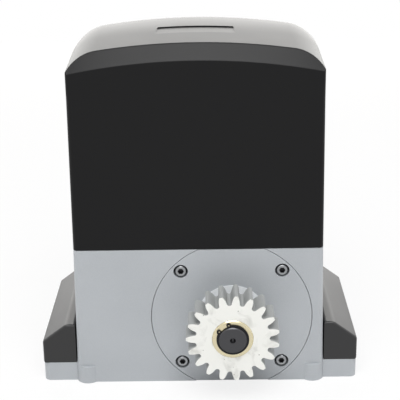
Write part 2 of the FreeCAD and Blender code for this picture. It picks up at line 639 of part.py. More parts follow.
def gearbox_base():
    """One casting: body, side flanges, gear chamber, worm tower, tray and duct."""
    case = body("base_casting")
    foot = base_width / 2
    rim = seam_width / 2
    face = [(-foot, 0), (foot, 0), (rim, seam_height), (-rim, seam_height)]
    pad(case, "base_form", outline(case, "base_face", "XZ", face, -front_face), base_depth, True)
    soften(case, "base_front_edges", lambda e: upright(e) and middle(e).y < 0, front_corner)
    soften(case, "base_rear_edges", lambda e: upright(e) and middle(e).y > 0, rear_corner)

    front = wing_width / 2
    back = front - wing_taper
    wings = [(-front, wing_front), (front, wing_front), (back, wing_rear), (-back, wing_rear)]
    pad(case, "wings", outline(case, "wing_plan", "XY", wings), wing_height)
    reach = number(base_width / 2 + 5)
    soften(
        case, "wing_corners",
        lambda e: upright(e) and abs(middle(e).x) > reach, wing_corner,
    )

    side = foot_spacing / 2
    feet = []
    for x in (-side, side):
        feet.append((x, front_face - foot_reach + foot_radius, foot_radius))
        feet.append((x, rear_face + foot_reach - foot_radius, foot_radius))
    pad(case, "levelling_feet", rounds(case, "feet_plan", "XY", feet), foot_height)

    half = seam_width / 2 - case_wall
    sides = (-half, half, front_face + front_wall, rear_face - case_wall)
    plan = rounded(case, "tray_plan", "XY", sides, front_corner, rear_corner - case_wall,
                   seam_height)
    pocket(case, "tray", plan, seam_height - tray_floor)
    chamber = [(output_x, output_z, chamber_radius + 6)]
    pad(case, "gear_case", rounds(case, "gear_case_plan", "XZ", chamber, -front_face - 20),
        bearing_b_front + bearing_b_width + 3 - 20, True)
    tower = [(motor_x, motor_y, tower_radius)]
    pad(case, "worm_tower", rounds(case, "tower_plan", "XY", tower, 20), tower_top - 20)

    posts = []
    for x in (-1, 1):
        for y in (-1, 1):
            posts.append((motor_x + bolt_offset * x, motor_y + bolt_offset * y, post_radius))
    pad(case, "motor_posts", rounds(case, "post_plan", "XY", posts, tray_floor - 1),
        tower_top - tray_floor + 1)
    threads = [(x, y, bolt_radius) for x, y, radius in posts]
    pocket(case, "post_threads", rounds(case, "post_thread_plan", "XY", threads, tower_top), 14)
    lugs = sketch_on(case, "lug_plan", "XY", tray_floor - 1)
    back = cover_lug_front - body_gap
    for side in (-1, 1):
        middle_x = cover_screw_x * side
        add_loop(lugs, rectangle(middle_x - cover_lug_half, middle_x + cover_lug_half,
                                 back - cover_lug_depth, back))
    pad(case, "cover_lugs", lugs, cover_screw_z + cover_lug_half - tray_floor + 1)
    holes = [(cover_screw_x * side, cover_screw_z, screw_radius) for side in (-1, 1)]
    pocket(case, "cover_threads", rounds(case, "cover_thread_plan", "XZ", holes, -back),
           cover_lug_depth - 1, True)

    sides = (duct_left, duct_left + duct_wide, duct_front, duct_front + duct_long)
    plan = rounded(case, "duct_plan", "XY", sides, front_corner, front_corner)
    pocket(case, "cable_duct", plan, tray_floor - deck_thickness, True)
    cable = [(cable_x, cable_y, cable_hole)]
    pocket(case, "cable_way", rounds(case, "cable_plan", "XY", cable, tray_floor),
           deck_thickness + 1)

    def bore(name, circles, start, end):
        """Bores along Y between two distances from the front face."""
        sketch = rounds(case, f"{name}_plan", "XZ", circles, -(front_face + start))
        return pocket(case, name, sketch, end - start)

    shaft = (output_x, output_z)
    bore("flange_recess", [(*shaft, flange_radius + flange_gap)], 0, flange_thickness)
    bore("gear_chamber", [(*shaft, chamber_radius)], flange_thickness, bearing_b_front)
    bore("rear_bearing_seat", [(*shaft, bearing_b_outer)], bearing_b_front,
         bearing_b_front + bearing_b_width)
    bore("rod_room", [(*shaft, shaft_tail_radius + 2)], bearing_b_front + bearing_b_width,
         rod_end + 1)
    bore("plunger_guide", [(*shaft, plunger_radius + running_play)], rod_end + 1, recess_floor)
    screws = []
    for x in (-1, 1):
        for z in (-1, 1):
            screws.append((output_x + screw_offset * x, output_z + screw_offset * z,
                           screw_radius))
    bore("flange_threads", screws, flange_thickness, counterbore_depth + screw_length + 0.8)

    worm = (motor_x, motor_y)
    seat = tower_top - tower_bearing_floor
    pocket(case, "upper_bearing_seat",
           rounds(case, "upper_seat_plan", "XY", [(*worm, bearing_b_outer)], tower_top), seat)
    pocket(case, "worm_chamber",
           rounds(case, "worm_chamber_plan", "XY", [(*worm, worm_chamber)],
                  tower_bearing_floor),
           tower_bearing_floor - bearing_c_floor - bearing_c_width)
    pocket(case, "lower_bearing_seat",
           rounds(case, "lower_seat_plan", "XY", [(*worm, bearing_c_outer)],
                  bearing_c_floor + bearing_c_width),
           bearing_c_width)

    lever_side = lever_height / 2 + lever_gap
    recess = rectangle(output_x - lever_length - lever_gap, output_x + 22,
                       output_z - lever_side, output_z + lever_side)
    sketch = outline(case, "lever_recess_plan", "XZ", recess, -(rear_face + 1))
    pocket(case, "lever_recess", sketch, recess_depth + 1, True)
    pin = [(output_x, pivot_y, lever_pin)]
    reach = lever_side + 8
    pocket(case, "lever_pin_hole",
           rounds(case, "lever_pin_plan", "XY", pin, output_z + reach), reach * 2)
    feet_x = carrier_width / 2 - carrier_leg / 2
    holes = [(carrier_x + feet_x * side, carrier_y + carrier_thickness + carrier_foot / 2, 2)
             for side in (-1, 1)]
    pocket(case, "carrier_threads",
           rounds(case, "carrier_thread_plan", "XY", holes, tray_floor), 5)

    slots = []
    for x in (-1, 1):
        for y in (-1, 1):
            slots.append((slot_across / 2 * x, slot_along / 2 * y))
    pocket(case, "foundation_slots",
           oblong(case, "slot_plan", "XY", slots, slot_length, slot_width, wing_height),
           wing_height)

    screws = [(x, y, levelling_radius) for x, y, radius in feet]
    pocket(case, "levelling_threads",
           rounds(case, "levelling_plan", "XY", screws), foot_height - 3, True)
    return piece(case, "gearbox_base")


def levelling_screws():
    """Four set screws in the feet, flush with the underside."""
    side = foot_spacing / 2
    items = []
    rows = (front_face - foot_reach + foot_radius, rear_face + foot_reach - foot_radius)
    for y in rows:
        for x in (-side, side):
            name = f"levelling_screw_{len(items) + 1}"
            socket = levelling_socket
            profile = [
                (0, 3), (socket, 3), (socket, 0), (levelling_radius - 0.8, 0),
                (levelling_radius - 0.02, 0.8), (levelling_radius - 0.02, foot_height - 4),
                (0, foot_height - 4),
            ]
            items.append(turned(name, profile, x, y, 0))
    return piece(group("levelling_screw_set", items), "levelling_screws")


def foot_cover(side, label):
    """A moulded cover over a side flange, open underneath; side is -1 or 1."""
    cover = body(label)
    inner = base_width / 2 + foot_cover_gap
    front_edge = wing_width / 2
    rear_edge = front_edge - wing_taper
    slope = front_edge - inner - foot_cover_flat

    def section(name, edge, inset, offset, low):
        ridge = edge - slope
        points = [
            (inner + inset, low), (edge - inset, low),
            (edge - inset, foot_cover_edge - inset * 0.7),
            (ridge - inset * 0.5, foot_cover_ridge - inset),
            (inner + inset, foot_cover_ridge - inset),
        ]
        if side < 0:
            points = [(-x, z) for x, z in reversed(points)]
        return outline(cover, name, "XZ", points, offset)

    loft = cover.newObject("PartDesign::AdditiveLoft", f"{label}_form")
    loft.Profile = section(f"{label}_front", front_edge, 0, -wing_front, wing_height)
    loft.Sections = [section(f"{label}_rear", rear_edge, 0, -wing_rear, wing_height)]
    loft.Ruled = True
    wall = foot_cover_wall
    hollow = cover.newObject("PartDesign::SubtractiveLoft", f"{label}_hollow")
    low = wing_height - 1
    hollow.Profile = section(f"{label}_front_in", front_edge, wall, -wing_front - wall, low)
    hollow.Sections = [
        section(f"{label}_rear_in", rear_edge, wall, -wing_rear + wall, low)
    ]
    hollow.Ruled = True
    return piece(cover, label)


# --------------------------------------------------------------------- top cover


def roof_line(sketch, inset):
    """Front view of the cover: drafted sides, rounded shoulders and an arched roof."""
    draft = (seam_width - cover_top_width) / (2 * (cover_shoulder_height - seam_height))
    low = cover_floor - seam_gap
    half = cover_top_width / 2 - inset
    foot = half + (cover_shoulder_height - low) * draft
    crown = crown_radius - inset
    shoulder = shoulder_radius - inset
    crown_centre = number(cover_height) - number(crown_radius)
    lean = math.atan(number(draft))
    top = number(cover_shoulder_height)
    reach = number(half) - number(shoulder) / math.cos(lean)
    # The shoulder touches the side and the crown: walk its centre up the side until it does.
    low_z, high_z = top - 200, top + 100
    for _ in range(60):
        centre_z = (low_z + high_z) / 2
        centre_x = reach + (top - centre_z) * number(draft)
        gap = math.hypot(centre_x, centre_z - crown_centre) - (number(crown) - number(shoulder))
        if gap > 0:
            high_z = centre_z
        else:
            low_z = centre_z
    radius = number(shoulder)
    side_x = centre_x + radius * math.cos(lean)
    side_z = centre_z + radius * math.sin(lean)
    scale = number(crown) / (number(crown) - radius)
    meet_x = centre_x * scale
    meet_z = crown_centre + (centre_z - crown_centre) * scale
    turn = math.atan2(meet_z - crown_centre, meet_x)
    foot_x, foot_z = number(foot), number(low)
    right = Part.Circle(V(centre_x, centre_z, 0), V(0, 0, 1), radius)
    left = Part.Circle(V(-centre_x, centre_z, 0), V(0, 0, 1), radius)
    roof = Part.Circle(V(0, crown_centre, 0), V(0, 0, 1), number(crown))
    edges = [
        Part.LineSegment(V(-foot_x, foot_z, 0), V(foot_x, foot_z, 0)),
        Part.LineSegment(V(foot_x, foot_z, 0), V(side_x, side_z, 0)),
        Part.ArcOfCircle(right, lean, turn),
        Part.ArcOfCircle(roof, turn, math.pi - turn),
        Part.ArcOfCircle(left, math.pi - turn, math.pi - lean),
        Part.LineSegment(V(-side_x, side_z, 0), V(-foot_x, foot_z, 0)),
    ]
    for edge in edges:
        sketch.addGeometry(edge, False)
    for first, second in ((0, 1), (5, 0)):
        sketch.addConstraint(Sketcher.Constraint("Coincident", first, 2, second, 1))
    for first, second in ((1, 2), (2, 3), (3, 4), (4, 5)):
        sketch.addConstraint(Sketcher.Constraint("Tangent", first, 2, second, 1))
    pin_point(sketch, 0, 1, -foot, low)
    pin_point(sketch, 0, 2, foot, low)
    for edge, value in ((2, shoulder), (3, crown), (4, shoulder)):
        index = sketch.addConstraint(Sketcher.Constraint("Radius", edge, number(value)))
        sketch.setExpression(f"Constraints[{index}]", words(value))
    pin_point(sketch, 3, 3, 0, cover_height - crown_radius)
    return sketch


def cover_form(name, inset):
    """The cover's outer form, or its inner form where inset is the wall."""
    form = body(name)
    start = -(front_face + inset)
    profile = roof_line(sketch_on(form, f"{name}_face", "XZ", start), inset)
    doc.recompute()
    path = form.newObject("Sketcher::SketchObject", f"{name}_path")
    base = [item for item in form.Origin.OriginFeatures if item.Role == "YZ_Plane"][0]
    path.AttachmentSupport = [(base, "")]
    path.MapMode = "FlatFace"
    level = number(cover_height - inset)
    roll = number(roof_roll - inset)
    edge = number(roof_edge - inset)
    first = number(front_face + inset)
    bend = number(roll_start)
    last = number(rear_face - inset)
    # The rounding stops at a slope of sixty degrees, in a faint crease at the rear wall.
    edge_y = rear_face - roof_edge * ROOT_THREE_HALVES
    turn = math.asin((number(edge_y) - bend) / (roll - edge))
    steep = math.asin((last - number(edge_y)) / edge)
    edge_z = level - roll + (roll - edge) * math.cos(turn)
    upright_angle = math.pi / 2
    fall = Part.Circle(V(bend, level - roll, 0), V(0, 0, 1), roll)
    rounding = Part.Circle(V(number(edge_y), edge_z, 0), V(0, 0, 1), edge)
    path.addGeometry(Part.LineSegment(V(first, level, 0), V(bend, level, 0)), False)
    path.addGeometry(Part.ArcOfCircle(fall, upright_angle - turn, upright_angle), False)
    path.addGeometry(Part.ArcOfCircle(rounding, upright_angle - steep, upright_angle - turn),
                     False)
    path.addConstraint(Sketcher.Constraint("Coincident", 0, 2, 1, 2))
    path.addConstraint(Sketcher.Constraint("Tangent", 1, 1, 2, 2))
    pin_point(path, 0, 1, front_face + inset, cover_height - inset)
    pin_point(path, 0, 2, roll_start, cover_height - inset)
    pin_point(path, 1, 3, roll_start, cover_height - roof_roll)
    for point, value in ((3, edge_y), (1, rear_face - inset)):
        index = path.addConstraint(Sketcher.Constraint("DistanceX", -1, 1, 2, point,
                                                       number(value)))
        path.setExpression(f"Constraints[{index}]", words(value))
    index = path.addConstraint(Sketcher.Constraint("Radius", 2, edge))
    path.setExpression(f"Constraints[{index}]", words(roof_edge - inset))
    pipe = form.newObject("PartDesign::AdditivePipe", f"{name}_roof")
    pipe.Profile = profile
    pipe.Spine = path
    pipe.Mode = "Fixed"
    doc.recompute()
    # The brow: the front face ends in an arch, and the roof starts behind it.
    fall = inset * root(1 + brow_slope * brow_slope)
    crown = brow_height - fall + brow_slope * inset
    brow = sketch_on(form, f"{name}_brow_line", "XZ", start)
    half = base_width / 2 + 10
    edge_z = crown - brow_radius + root(brow_radius * brow_radius - half * half)
    high = cover_height + 60
    angle = math.atan2(number(edge_z - crown + brow_radius), number(half))
    arch = Part.Circle(V(0, number(crown - brow_radius), 0), V(0, 0, 1), number(brow_radius))
    corner = [V(-number(half), number(high), 0), V(number(half), number(high), 0)]
    ends = [V(-number(half), number(edge_z), 0), V(number(half), number(edge_z), 0)]
    brow.addGeometry(Part.ArcOfCircle(arch, angle, math.pi - angle), False)
    brow.addGeometry(Part.LineSegment(ends[0], corner[0]), False)
    brow.addGeometry(Part.LineSegment(corner[0], corner[1]), False)
    brow.addGeometry(Part.LineSegment(corner[1], ends[1]), False)
    for one, other in ((0, 1), (1, 2), (2, 3)):
        brow.addConstraint(Sketcher.Constraint("Coincident", one, 2, other, 1))
    brow.addConstraint(Sketcher.Constraint("Coincident", 3, 2, 0, 1))
    pin_point(brow, 0, 3, 0, crown - brow_radius)
    pin_point(brow, 1, 1, -half, edge_z)
    pin_point(brow, 2, 1, -half, high)
    pin_point(brow, 3, 1, half, high)
    index = brow.addConstraint(Sketcher.Constraint("DistanceX", -1, 1, 0, 1, number(half)))
    brow.setExpression(f"Constraints[{index}]", half.text)
    pocket(form, f"{name}_brow", brow, 60, direction=V(0, 1, number(brow_slope)))
    return form


def trim_below(form, name, floor):
    """Cuts the form off level at its floor."""
    reach = base_width
    sides = rectangle(-reach, reach, front_face - 10, rear_face + 10)
    return pocket(form, f"{name}_trim", outline(form, f"{name}_trim_plan", "XY", sides, floor),
                  cover_height)


def top_cover():
    """The moulded shell: outer form less inner form, with lugs and a roof recess."""
    outer = cover_form("cover_outer", Size(0, "0"))
    inner = cover_form("cover_inner", cover_wall)
    for form, name, floor, inset in (
        (outer, "cover_outer", cover_floor, 0),
        (inner, "cover_inner", cover_floor - 1, cover_wall),
    ):
        trim_below(form, name, floor)
        rear = number(rear_face - inset)
        front = number(front_face + inset)
        limit = number(floor) + 1
        soften(form, f"{name}_rear_edges",
               lambda e: e.BoundBox.YMin > rear - 0.1 and middle(e).z > limit,
               rear_corner - inset)
        if form is outer:
            soften(form, f"{name}_front_edges",
                   lambda e: middle(e).y < front + 0.1 and upright(e), front_corner)
    doc.recompute()
    lugs = []
    holes = []
    for x in (-cover_screw_x, cover_screw_x):
        count = len(lugs) + 1
        lugs.append(block(f"cover_lug_{count}", (x - cover_lug_half, cover_lug_front, cover_floor),
                          (x + cover_lug_half, rear_face - cover_wall + 1,
                           cover_floor + cover_lug_height)))
        holes.append(rod(f"cover_lug_hole_{count}", screw_radius + hole_play, 40,
                         x, rear_face - 30, cover_screw_z, "house"))
        holes.append(rod(f"cover_lug_bore_{count}", screw_head + hole_play, 8,
                         x, rear_face - screw_head_height, cover_screw_z, "house"))
    half = badge_width / 2
    prism = body("badge_prism")
    low = front_face + badge_front
    plan = rounded(prism, "badge_plan", "XY", (-half, half, low, low + badge_length),
                   badge_corner, badge_corner, cover_height - 12)
    pad(prism, "badge_block", plan, 20)
    lowered = copy_at("lowered_roof", outer, 0, 0, -badge_depth)
    recess = cut("badge_recess", prism, lowered)
    shell = cut("cover_shell", outer, inner)
    whole = fused("cover_with_lugs", [shell] + lugs)
    tools = fused("cover_cuts", holes + [recess])
    return piece(cut("cover_finished", whole, tools), "top_cover")


def cover_screws():
    """Two screws through the rear wall of the cover."""
    items = []
    for x in (-cover_screw_x, cover_screw_x):
        items.append(socket_screw(f"cover_screw_{len(items) + 1}", 20, x, rear_face,
                                  cover_screw_z, "gate"))
    return piece(group("cover_screw_set", items), "cover_screws")


def socket_screw(name, length, x, y, z, along):
    """A socket cap screw; its place is the top of its head, its axis points into the work."""
    screw = body(name)
    spin = screw.newObject("PartDesign::Revolution", f"{name}_turning")
    profile = [
        (0, 0), (screw_head - 0.5, 0), (screw_head, 0.5), (screw_head, screw_head_height),
        (screw_radius, screw_head_height), (screw_radius, screw_head_height + length - 0.8),
        (screw_radius - 0.8, screw_head_height + length), (0, screw_head_height + length),
    ]
    spin.Profile = outline(screw, f"{name}_profile", "XZ", profile)
    spin.ReferenceAxis = (spin.Profile[0], ["V_Axis"])
    spin.Angle = 360
    socket = outline(screw, f"{name}_hex", "XY", hexagon(0, 0, screw_hex))
    pocket(screw, f"{name}_socket", socket, screw_hex_depth, True)
    return place(screw, x, y, z, along)


def cover_gasket():
    """A flat rubber frame on the rim of the base."""
    gasket = body("gasket")
    for name, inset in (("outside", gasket_inset), ("inside", gasket_inset + gasket_width)):
        half = seam_width / 2 - inset
        sides = (-half, half, front_face + inset, rear_face - inset)
        plan = rounded(gasket, f"gasket_{name}", "XY", sides, front_corner - inset * 0.5,
                       rear_corner - inset, seam_height)
        if name == "outside":
            pad(gasket, "gasket_strip", plan, seam_gap)
        else:
            pocket(gasket, "gasket_opening", plan, seam_gap + 1, True)
    return piece(gasket, "cover_gasket")


# ------------------------------------------------------------- output flange


def on_shaft(item, angle=0):
    """Puts a body modelled in the front view on the output shaft, turned by an angle."""
    spot = V(number(output_x), number(front_face), number(output_z))
    item.Placement = FreeCAD.Placement(spot, FreeCAD.Rotation(V(0, -1, 0), angle))
    bind(item, "Placement.Base.x", output_x)
    bind(item, "Placement.Base.y", front_face)
    bind(item, "Placement.Base.z", output_z)
    return item


def output_flange():
    """A round plate let into the front face, with a spigot and a bearing hub behind."""
    plate = body("flange_casting")

    def disc(name, radius, start, end):
        sketch = rounds(plate, f"{name}_plan", "XZ", [(0, 0, radius)], -start)
        return pad(plate, name, sketch, end - start, True)

    def bore(name, radius, start, end):
        sketch = rounds(plate, f"{name}_plan", "XZ", [(0, 0, radius)], -start)
        return pocket(plate, name, sketch, end - start)

    disc("flange_disc", flange_radius, Size(0, "0"), flange_thickness)
    low = -output_z + body_gap
    high = seam_height - output_z - body_gap
    reach = flange_radius + 5
    for name, sides in (("flange_foot", (low - 30, low)), ("flange_crown", (high, high + 30))):
        area = rectangle(-reach, reach, *sides)
        pocket(plate, name, outline(plate, f"{name}_plan", "XZ", area, Size(1, "1")),
               flange_thickness + 2)
    disc("flange_spigot", spigot_radius, flange_thickness - 1, spigot_end)
    disc("flange_hub", flange_hub, spigot_end - 1, flange_hub_end)
    bore("cap_seat", cap_radius, Size(0, "0"), cap_depth)
    bore("seal_bore", seal_outer, cap_depth - 1, bearing_a_front)
    bore("bearing_bore", bearing_a_outer, bearing_a_front, flange_hub_end)
    heads = []
    for x in (-screw_offset, screw_offset):
        for z in (-screw_offset, screw_offset):
            heads.append((x, z))
    front = Size(0, "0")
    sketch = rounds(plate, "counterbore_plan", "XZ", [(*spot, counterbore) for spot in heads],
                    front)
    pocket(plate, "counterbores", sketch, counterbore_depth)
    play = screw_radius + hole_play
    sketch = rounds(plate, "screw_hole_plan", "XZ", [(*spot, play) for spot in heads], front)
    pocket(plate, "screw_holes", sketch, flange_thickness + 1)
    return piece(on_shaft(plate), "output_flange")


def flange_screws():
    items = []
    inset = counterbore_depth - screw_head_height
    for x in (-screw_offset, screw_offset):
        for z in (-screw_offset, screw_offset):
            items.append(socket_screw(f"flange_screw_{len(items) + 1}", screw_length,
                                      output_x + x, front_face + inset, output_z + z, "house"))
    return piece(group("flange_screw_set", items), "flange_screws")


def shaft_ring(name, inner, outer, start, end):
    """A ring on the output shaft between two distances from the front face."""
    return ring(name, inner, outer, start, end, output_x, front_face, output_z, "house")


def bearing(name, inner, outer, width, x, y, z, along):
    """A sealed ball bearing, with the seal sunk between its races."""
    bore = inner + running_play
    land = bore + race_wall
    rim = outer - race_wall
    profile = [
        (bore, 0), (land, 0), (land, 0.6), (rim, 0.6), (rim, 0), (outer, 0), (outer, width),
        (bore, width),
    ]
    return piece(turned(f"{name}_races", profile, x, y, z, along), name)


# ------------------------------------------------------------- output shaft train


def shaft_key(name, angle, start, end):
    """A parallel key, let into the shaft at an angle seen from the front."""
    key = body(name)
    low = shaft_radius - key_seat
    half = key_width / 2
    area = rectangle(low, low + key_height, -half, half)
    pad(key, f"{name}_bar", outline(key, f"{name}_end", "XZ", area, -start), end - start, True)
    return piece(on_shaft(key, angle), name)


def output_shaft(key, cross_slot):
    """Stepped shaft with a ring groove, a centre hole and a bore for the push rod."""
    groove = pinion_front - insert_proud
    end = -shaft_reach
    tail = bearing_b_front + bearing_b_width
    step = wheel_centre + wheel_hub_width / 2 + 1
    bore = rod_radius + 0.1
    profile = [
        (0, end + 6), (centre_drill, end), (shaft_radius - 0.8, end),
        (shaft_radius, end + 0.8), (shaft_radius, groove - ring_thickness - 0.1),
        (ring_inner, groove - ring_thickness - 0.1), (ring_inner, groove),
        (shaft_radius, groove), (shaft_radius, step), (shaft_tail_radius, step),
        (shaft_tail_radius, tail), (bore, tail), (bore, clutch_front - 5), (0, clutch_front - 5),
    ]
    blank = turned("shaft_blank", profile, output_x, front_face, output_z, "house")
    tools = fused("shaft_cuts", [key, cross_slot])
    return piece(cut("shaft_finished", blank, tools), "output_shaft")


def involute(angle):
    return math.tan(angle) - angle


def drive_pinion():
    """A spur pinion with involute flanks, for a gate rack."""
    gear = body("pinion_blank")
    module = number(pinion_module)
    tip = module * (pinion_teeth / 2 + 1)
    pitch = module * pinion_teeth / 2
    floor = module * (pinion_teeth / 2 - 1.25)
    pressure = math.radians(20)
    base_circle = pitch * math.cos(pressure)
    tip_size = pinion_module * (pinion_teeth / 2 + 1)
    sketch = rounds(gear, "pinion_disc", "XZ", [(0, 0, tip_size)], pinion_reach)
    pad(gear, "pinion_form", sketch, pinion_width, True)
    sketch = rounds(gear, "insert_hole", "XZ", [(0, 0, insert_radius)], pinion_reach)
    pocket(gear, "insert_seat", sketch, pinion_width)
    chamfer = 0.8

    def gap_half(radius):
        """Half the angle of a tooth gap at a radius."""
        lean = math.acos(min(base_circle / radius, 1))
        tooth = math.pi / (2 * pinion_teeth) + involute(pressure) - involute(lean)
        return math.pi / pinion_teeth - tooth

    def at(radius, side):
        angle = gap_half(radius) * side
        return V(radius * math.cos(angle), radius * math.sin(angle), 0)

    out = tip + module
    out_angle = gap_half(tip) + 0.05
    fillet = at(base_circle, 1).y * 0.92
    space = sketch_on(gear, "tooth_gap", "XZ", pinion_reach + 1)
    mid = (base_circle + tip) / 2
    upper = Part.Arc(at(base_circle, 1), at(mid, 1), at(tip, 1))
    lower = Part.Arc(at(base_circle, -1), at(mid, -1), at(tip, -1))
    corner = V(out * math.cos(out_angle), out * math.sin(out_angle), 0)
    low_corner = V(corner.x, -corner.y, 0)
    root_x = floor + fillet
    bottom = Part.Arc(V(root_x, -fillet, 0), V(floor, 0, 0), V(root_x, fillet, 0))
    space.addGeometry(Part.LineSegment(low_corner, corner), False)
    space.addGeometry(Part.LineSegment(corner, at(tip, 1)), False)
    space.addGeometry(upper, False)
    space.addGeometry(Part.LineSegment(at(base_circle, 1), V(root_x, fillet, 0)), False)
    space.addGeometry(bottom, False)
    space.addGeometry(Part.LineSegment(V(root_x, -fillet, 0), at(base_circle, -1)), False)
    space.addGeometry(lower, False)
    space.addGeometry(Part.LineSegment(at(tip, -1), low_corner), False)
    slot = pocket(gear, "tooth_gap_cut", space, pinion_width + 2)
    ring_of_gaps = gear.newObject("PartDesign::PolarPattern", "tooth_gaps")
    ring_of_gaps.Originals = [slot]
    axis = [item for item in gear.Origin.OriginFeatures if item.Role == "Y_Axis"][0]
    ring_of_gaps.Axis = (axis, [""])
    ring_of_gaps.Angle = 360
    ring_of_gaps.Occurrences = pinion_teeth
    gear.Tip = ring_of_gaps
    return piece(on_shaft(gear), "drive_pinion")


def hub_insert(key):
    """The metal bush moulded into the pinion, slotted for the key."""
    start = pinion_front - insert_proud
    profile = [
        (shaft_radius, start), (insert_radius - 0.7, start), (insert_radius, start + 0.7),
        (insert_radius, pinion_back), (shaft_radius, pinion_back),
    ]
    bush = turned("bush_blank", profile, output_x, front_face, output_z, "house")
    return piece(cut("bush_finished", bush, key), "pinion_hub_insert")


def retaining_ring(gap_angle):
    """An open spring ring with two drilled ears either side of its gap."""
    clip = body("clip")
    start = shaft_reach - (shaft_reach - pinion_reach - insert_proud) + ring_thickness
    sketch = rounds(clip, "clip_plan", "XZ",
                    [(0, 0, ring_outer), (0, 0, ring_inner)], start)
    pad(clip, "clip_ring", sketch, ring_thickness, True)
    ears = []
    holes = []
    spread = math.radians(21.5)
    reach = ring_ear - 2.3
    for side in (-1, 1):
        x = reach * math.cos(spread)
        z = reach * math.sin(spread) * side
        ears.append((x, z, 2.3))
        holes.append((x, z, 0.9))
    pad(clip, "clip_ears", rounds(clip, "ear_plan", "XZ", ears, start), ring_thickness, True)
    wedge = math.radians(14)
    far = ring_ear + 3
    mouth = [(0, 0), (far, -far * math.tan(wedge)), (far, far * math.tan(wedge))]
    pocket(clip, "clip_mouth", outline(clip, "mouth_plan", "XZ", mouth, start), ring_thickness)
    pocket(clip, "clip_holes", rounds(clip, "clip_hole_plan", "XZ", holes, start),
           ring_thickness)
    return piece(on_shaft(clip, gap_angle), "retaining_ring")


def worm_wheel(dogs):
    """A bronze wheel whose tooth gaps lean by the lead angle of the worm."""
    wheel = body("wheel_blank")
    tip = wheel_pitch_radius + wheel_module
    front = wheel_centre - wheel_width / 2
    sketch = rounds(wheel, "wheel_disc", "XZ", [(0, 0, tip)], -front)
    pad(wheel, "wheel_form", sketch, wheel_width, True)
    depth = (wheel_width - wheel_web) / 2
    for name, start in (("front_web", front), ("rear_web", front + wheel_width - depth)):
        sketch = rounds(wheel, f"{name}_plan", "XZ", [(0, 0, wheel_rim)], -start)
        pocket(wheel, name, sketch, depth)
    hub_front = wheel_centre - wheel_hub_width / 2
    sketch = rounds(wheel, "hub_plan", "XZ", [(0, 0, wheel_hub_radius)], -hub_front)
    pad(wheel, "wheel_hub", sketch, wheel_hub_width, True)
    bore = shaft_radius + running_play
    sketch = rounds(wheel, "wheel_bore_plan", "XZ", [(0, 0, bore)], -hub_front)
    pocket(wheel, "wheel_bore", sketch, wheel_hub_width)
    pitch = math.pi * wheel_module
    rise = pitch / (2 * math.pi * worm_pitch_radius)
    over = 1
    drop = (wheel_width / 2 + over) * rise
    half = pitch / 4 + worm_backlash / 2
    lean = math.tan(math.radians(20))
    floor = wheel_pitch_radius - wheel_module * 1.25
    top = tip + 1
    deep = half - (wheel_pitch_radius - floor) * lean
    wide = half + (top - wheel_pitch_radius) * lean
    gap = [(-top, -drop - wide), (-floor, -drop - deep), (-floor, -drop + deep),
           (-top, -drop + wide)]
    sketch = outline(wheel, "wheel_gap_plan", "XZ", gap, -(front - over))
    cutter = pocket(wheel, "wheel_gap", sketch, wheel_width + 2 * over,
                    direction=V(0, 1, number(rise)))
    pattern = wheel.newObject("PartDesign::PolarPattern", "wheel_gaps")
    pattern.Originals = [cutter]
    axis = [item for item in wheel.Origin.OriginFeatures if item.Role == "Y_Axis"][0]
    pattern.Axis = (axis, [""])
    pattern.Angle = 360
    pattern.Occurrences = wheel_teeth
    wheel.Tip = pattern
    on_shaft(wheel)
    tools = fused("wheel_cuts", dogs)
    return piece(cut("wheel_finished", wheel, tools), "worm_wheel")


def dog_boxes(name, play, reach):
    """The four clutch dogs, or the slots for them where play is more than nothing."""
    items = []
    inner = clutch_radius - 6
    start = clutch_front + clutch_length - 0.5
    half = dog_width / 2 + play
    for index in range(4):
        dog = body(f"{name}_{index + 1}")
        area = rectangle(inner - play, clutch_radius + play, -half, half)
        pad(dog, f"{name}_{index + 1}_bar",
            outline(dog, f"{name}_{index + 1}_end", "XZ", area, -start), reach + 0.5, True)
        items.append(on_shaft(dog, 45 + 90 * index))
    return items


def clutch(pin):
    """A sleeve with four dogs that slides on the shaft, driven by a cross pin."""
    sleeve = shaft_ring("sleeve_blank", shaft_radius + running_play, clutch_radius,
                        clutch_front, clutch_front + clutch_length)
    inner = common("dog_trim", [
        fused("dogs_raw", dog_boxes("dog", 0, dog_reach)),
        shaft_ring("dog_envelope", shaft_radius + 1, clutch_radius, clutch_front, wheel_centre),
    ])
    whole = fused("sleeve_whole", [sleeve, inner])
    return piece(cut("sleeve_finished", whole, pin), "clutch_sleeve")


# ------------------------------------------------------------- worm and motor


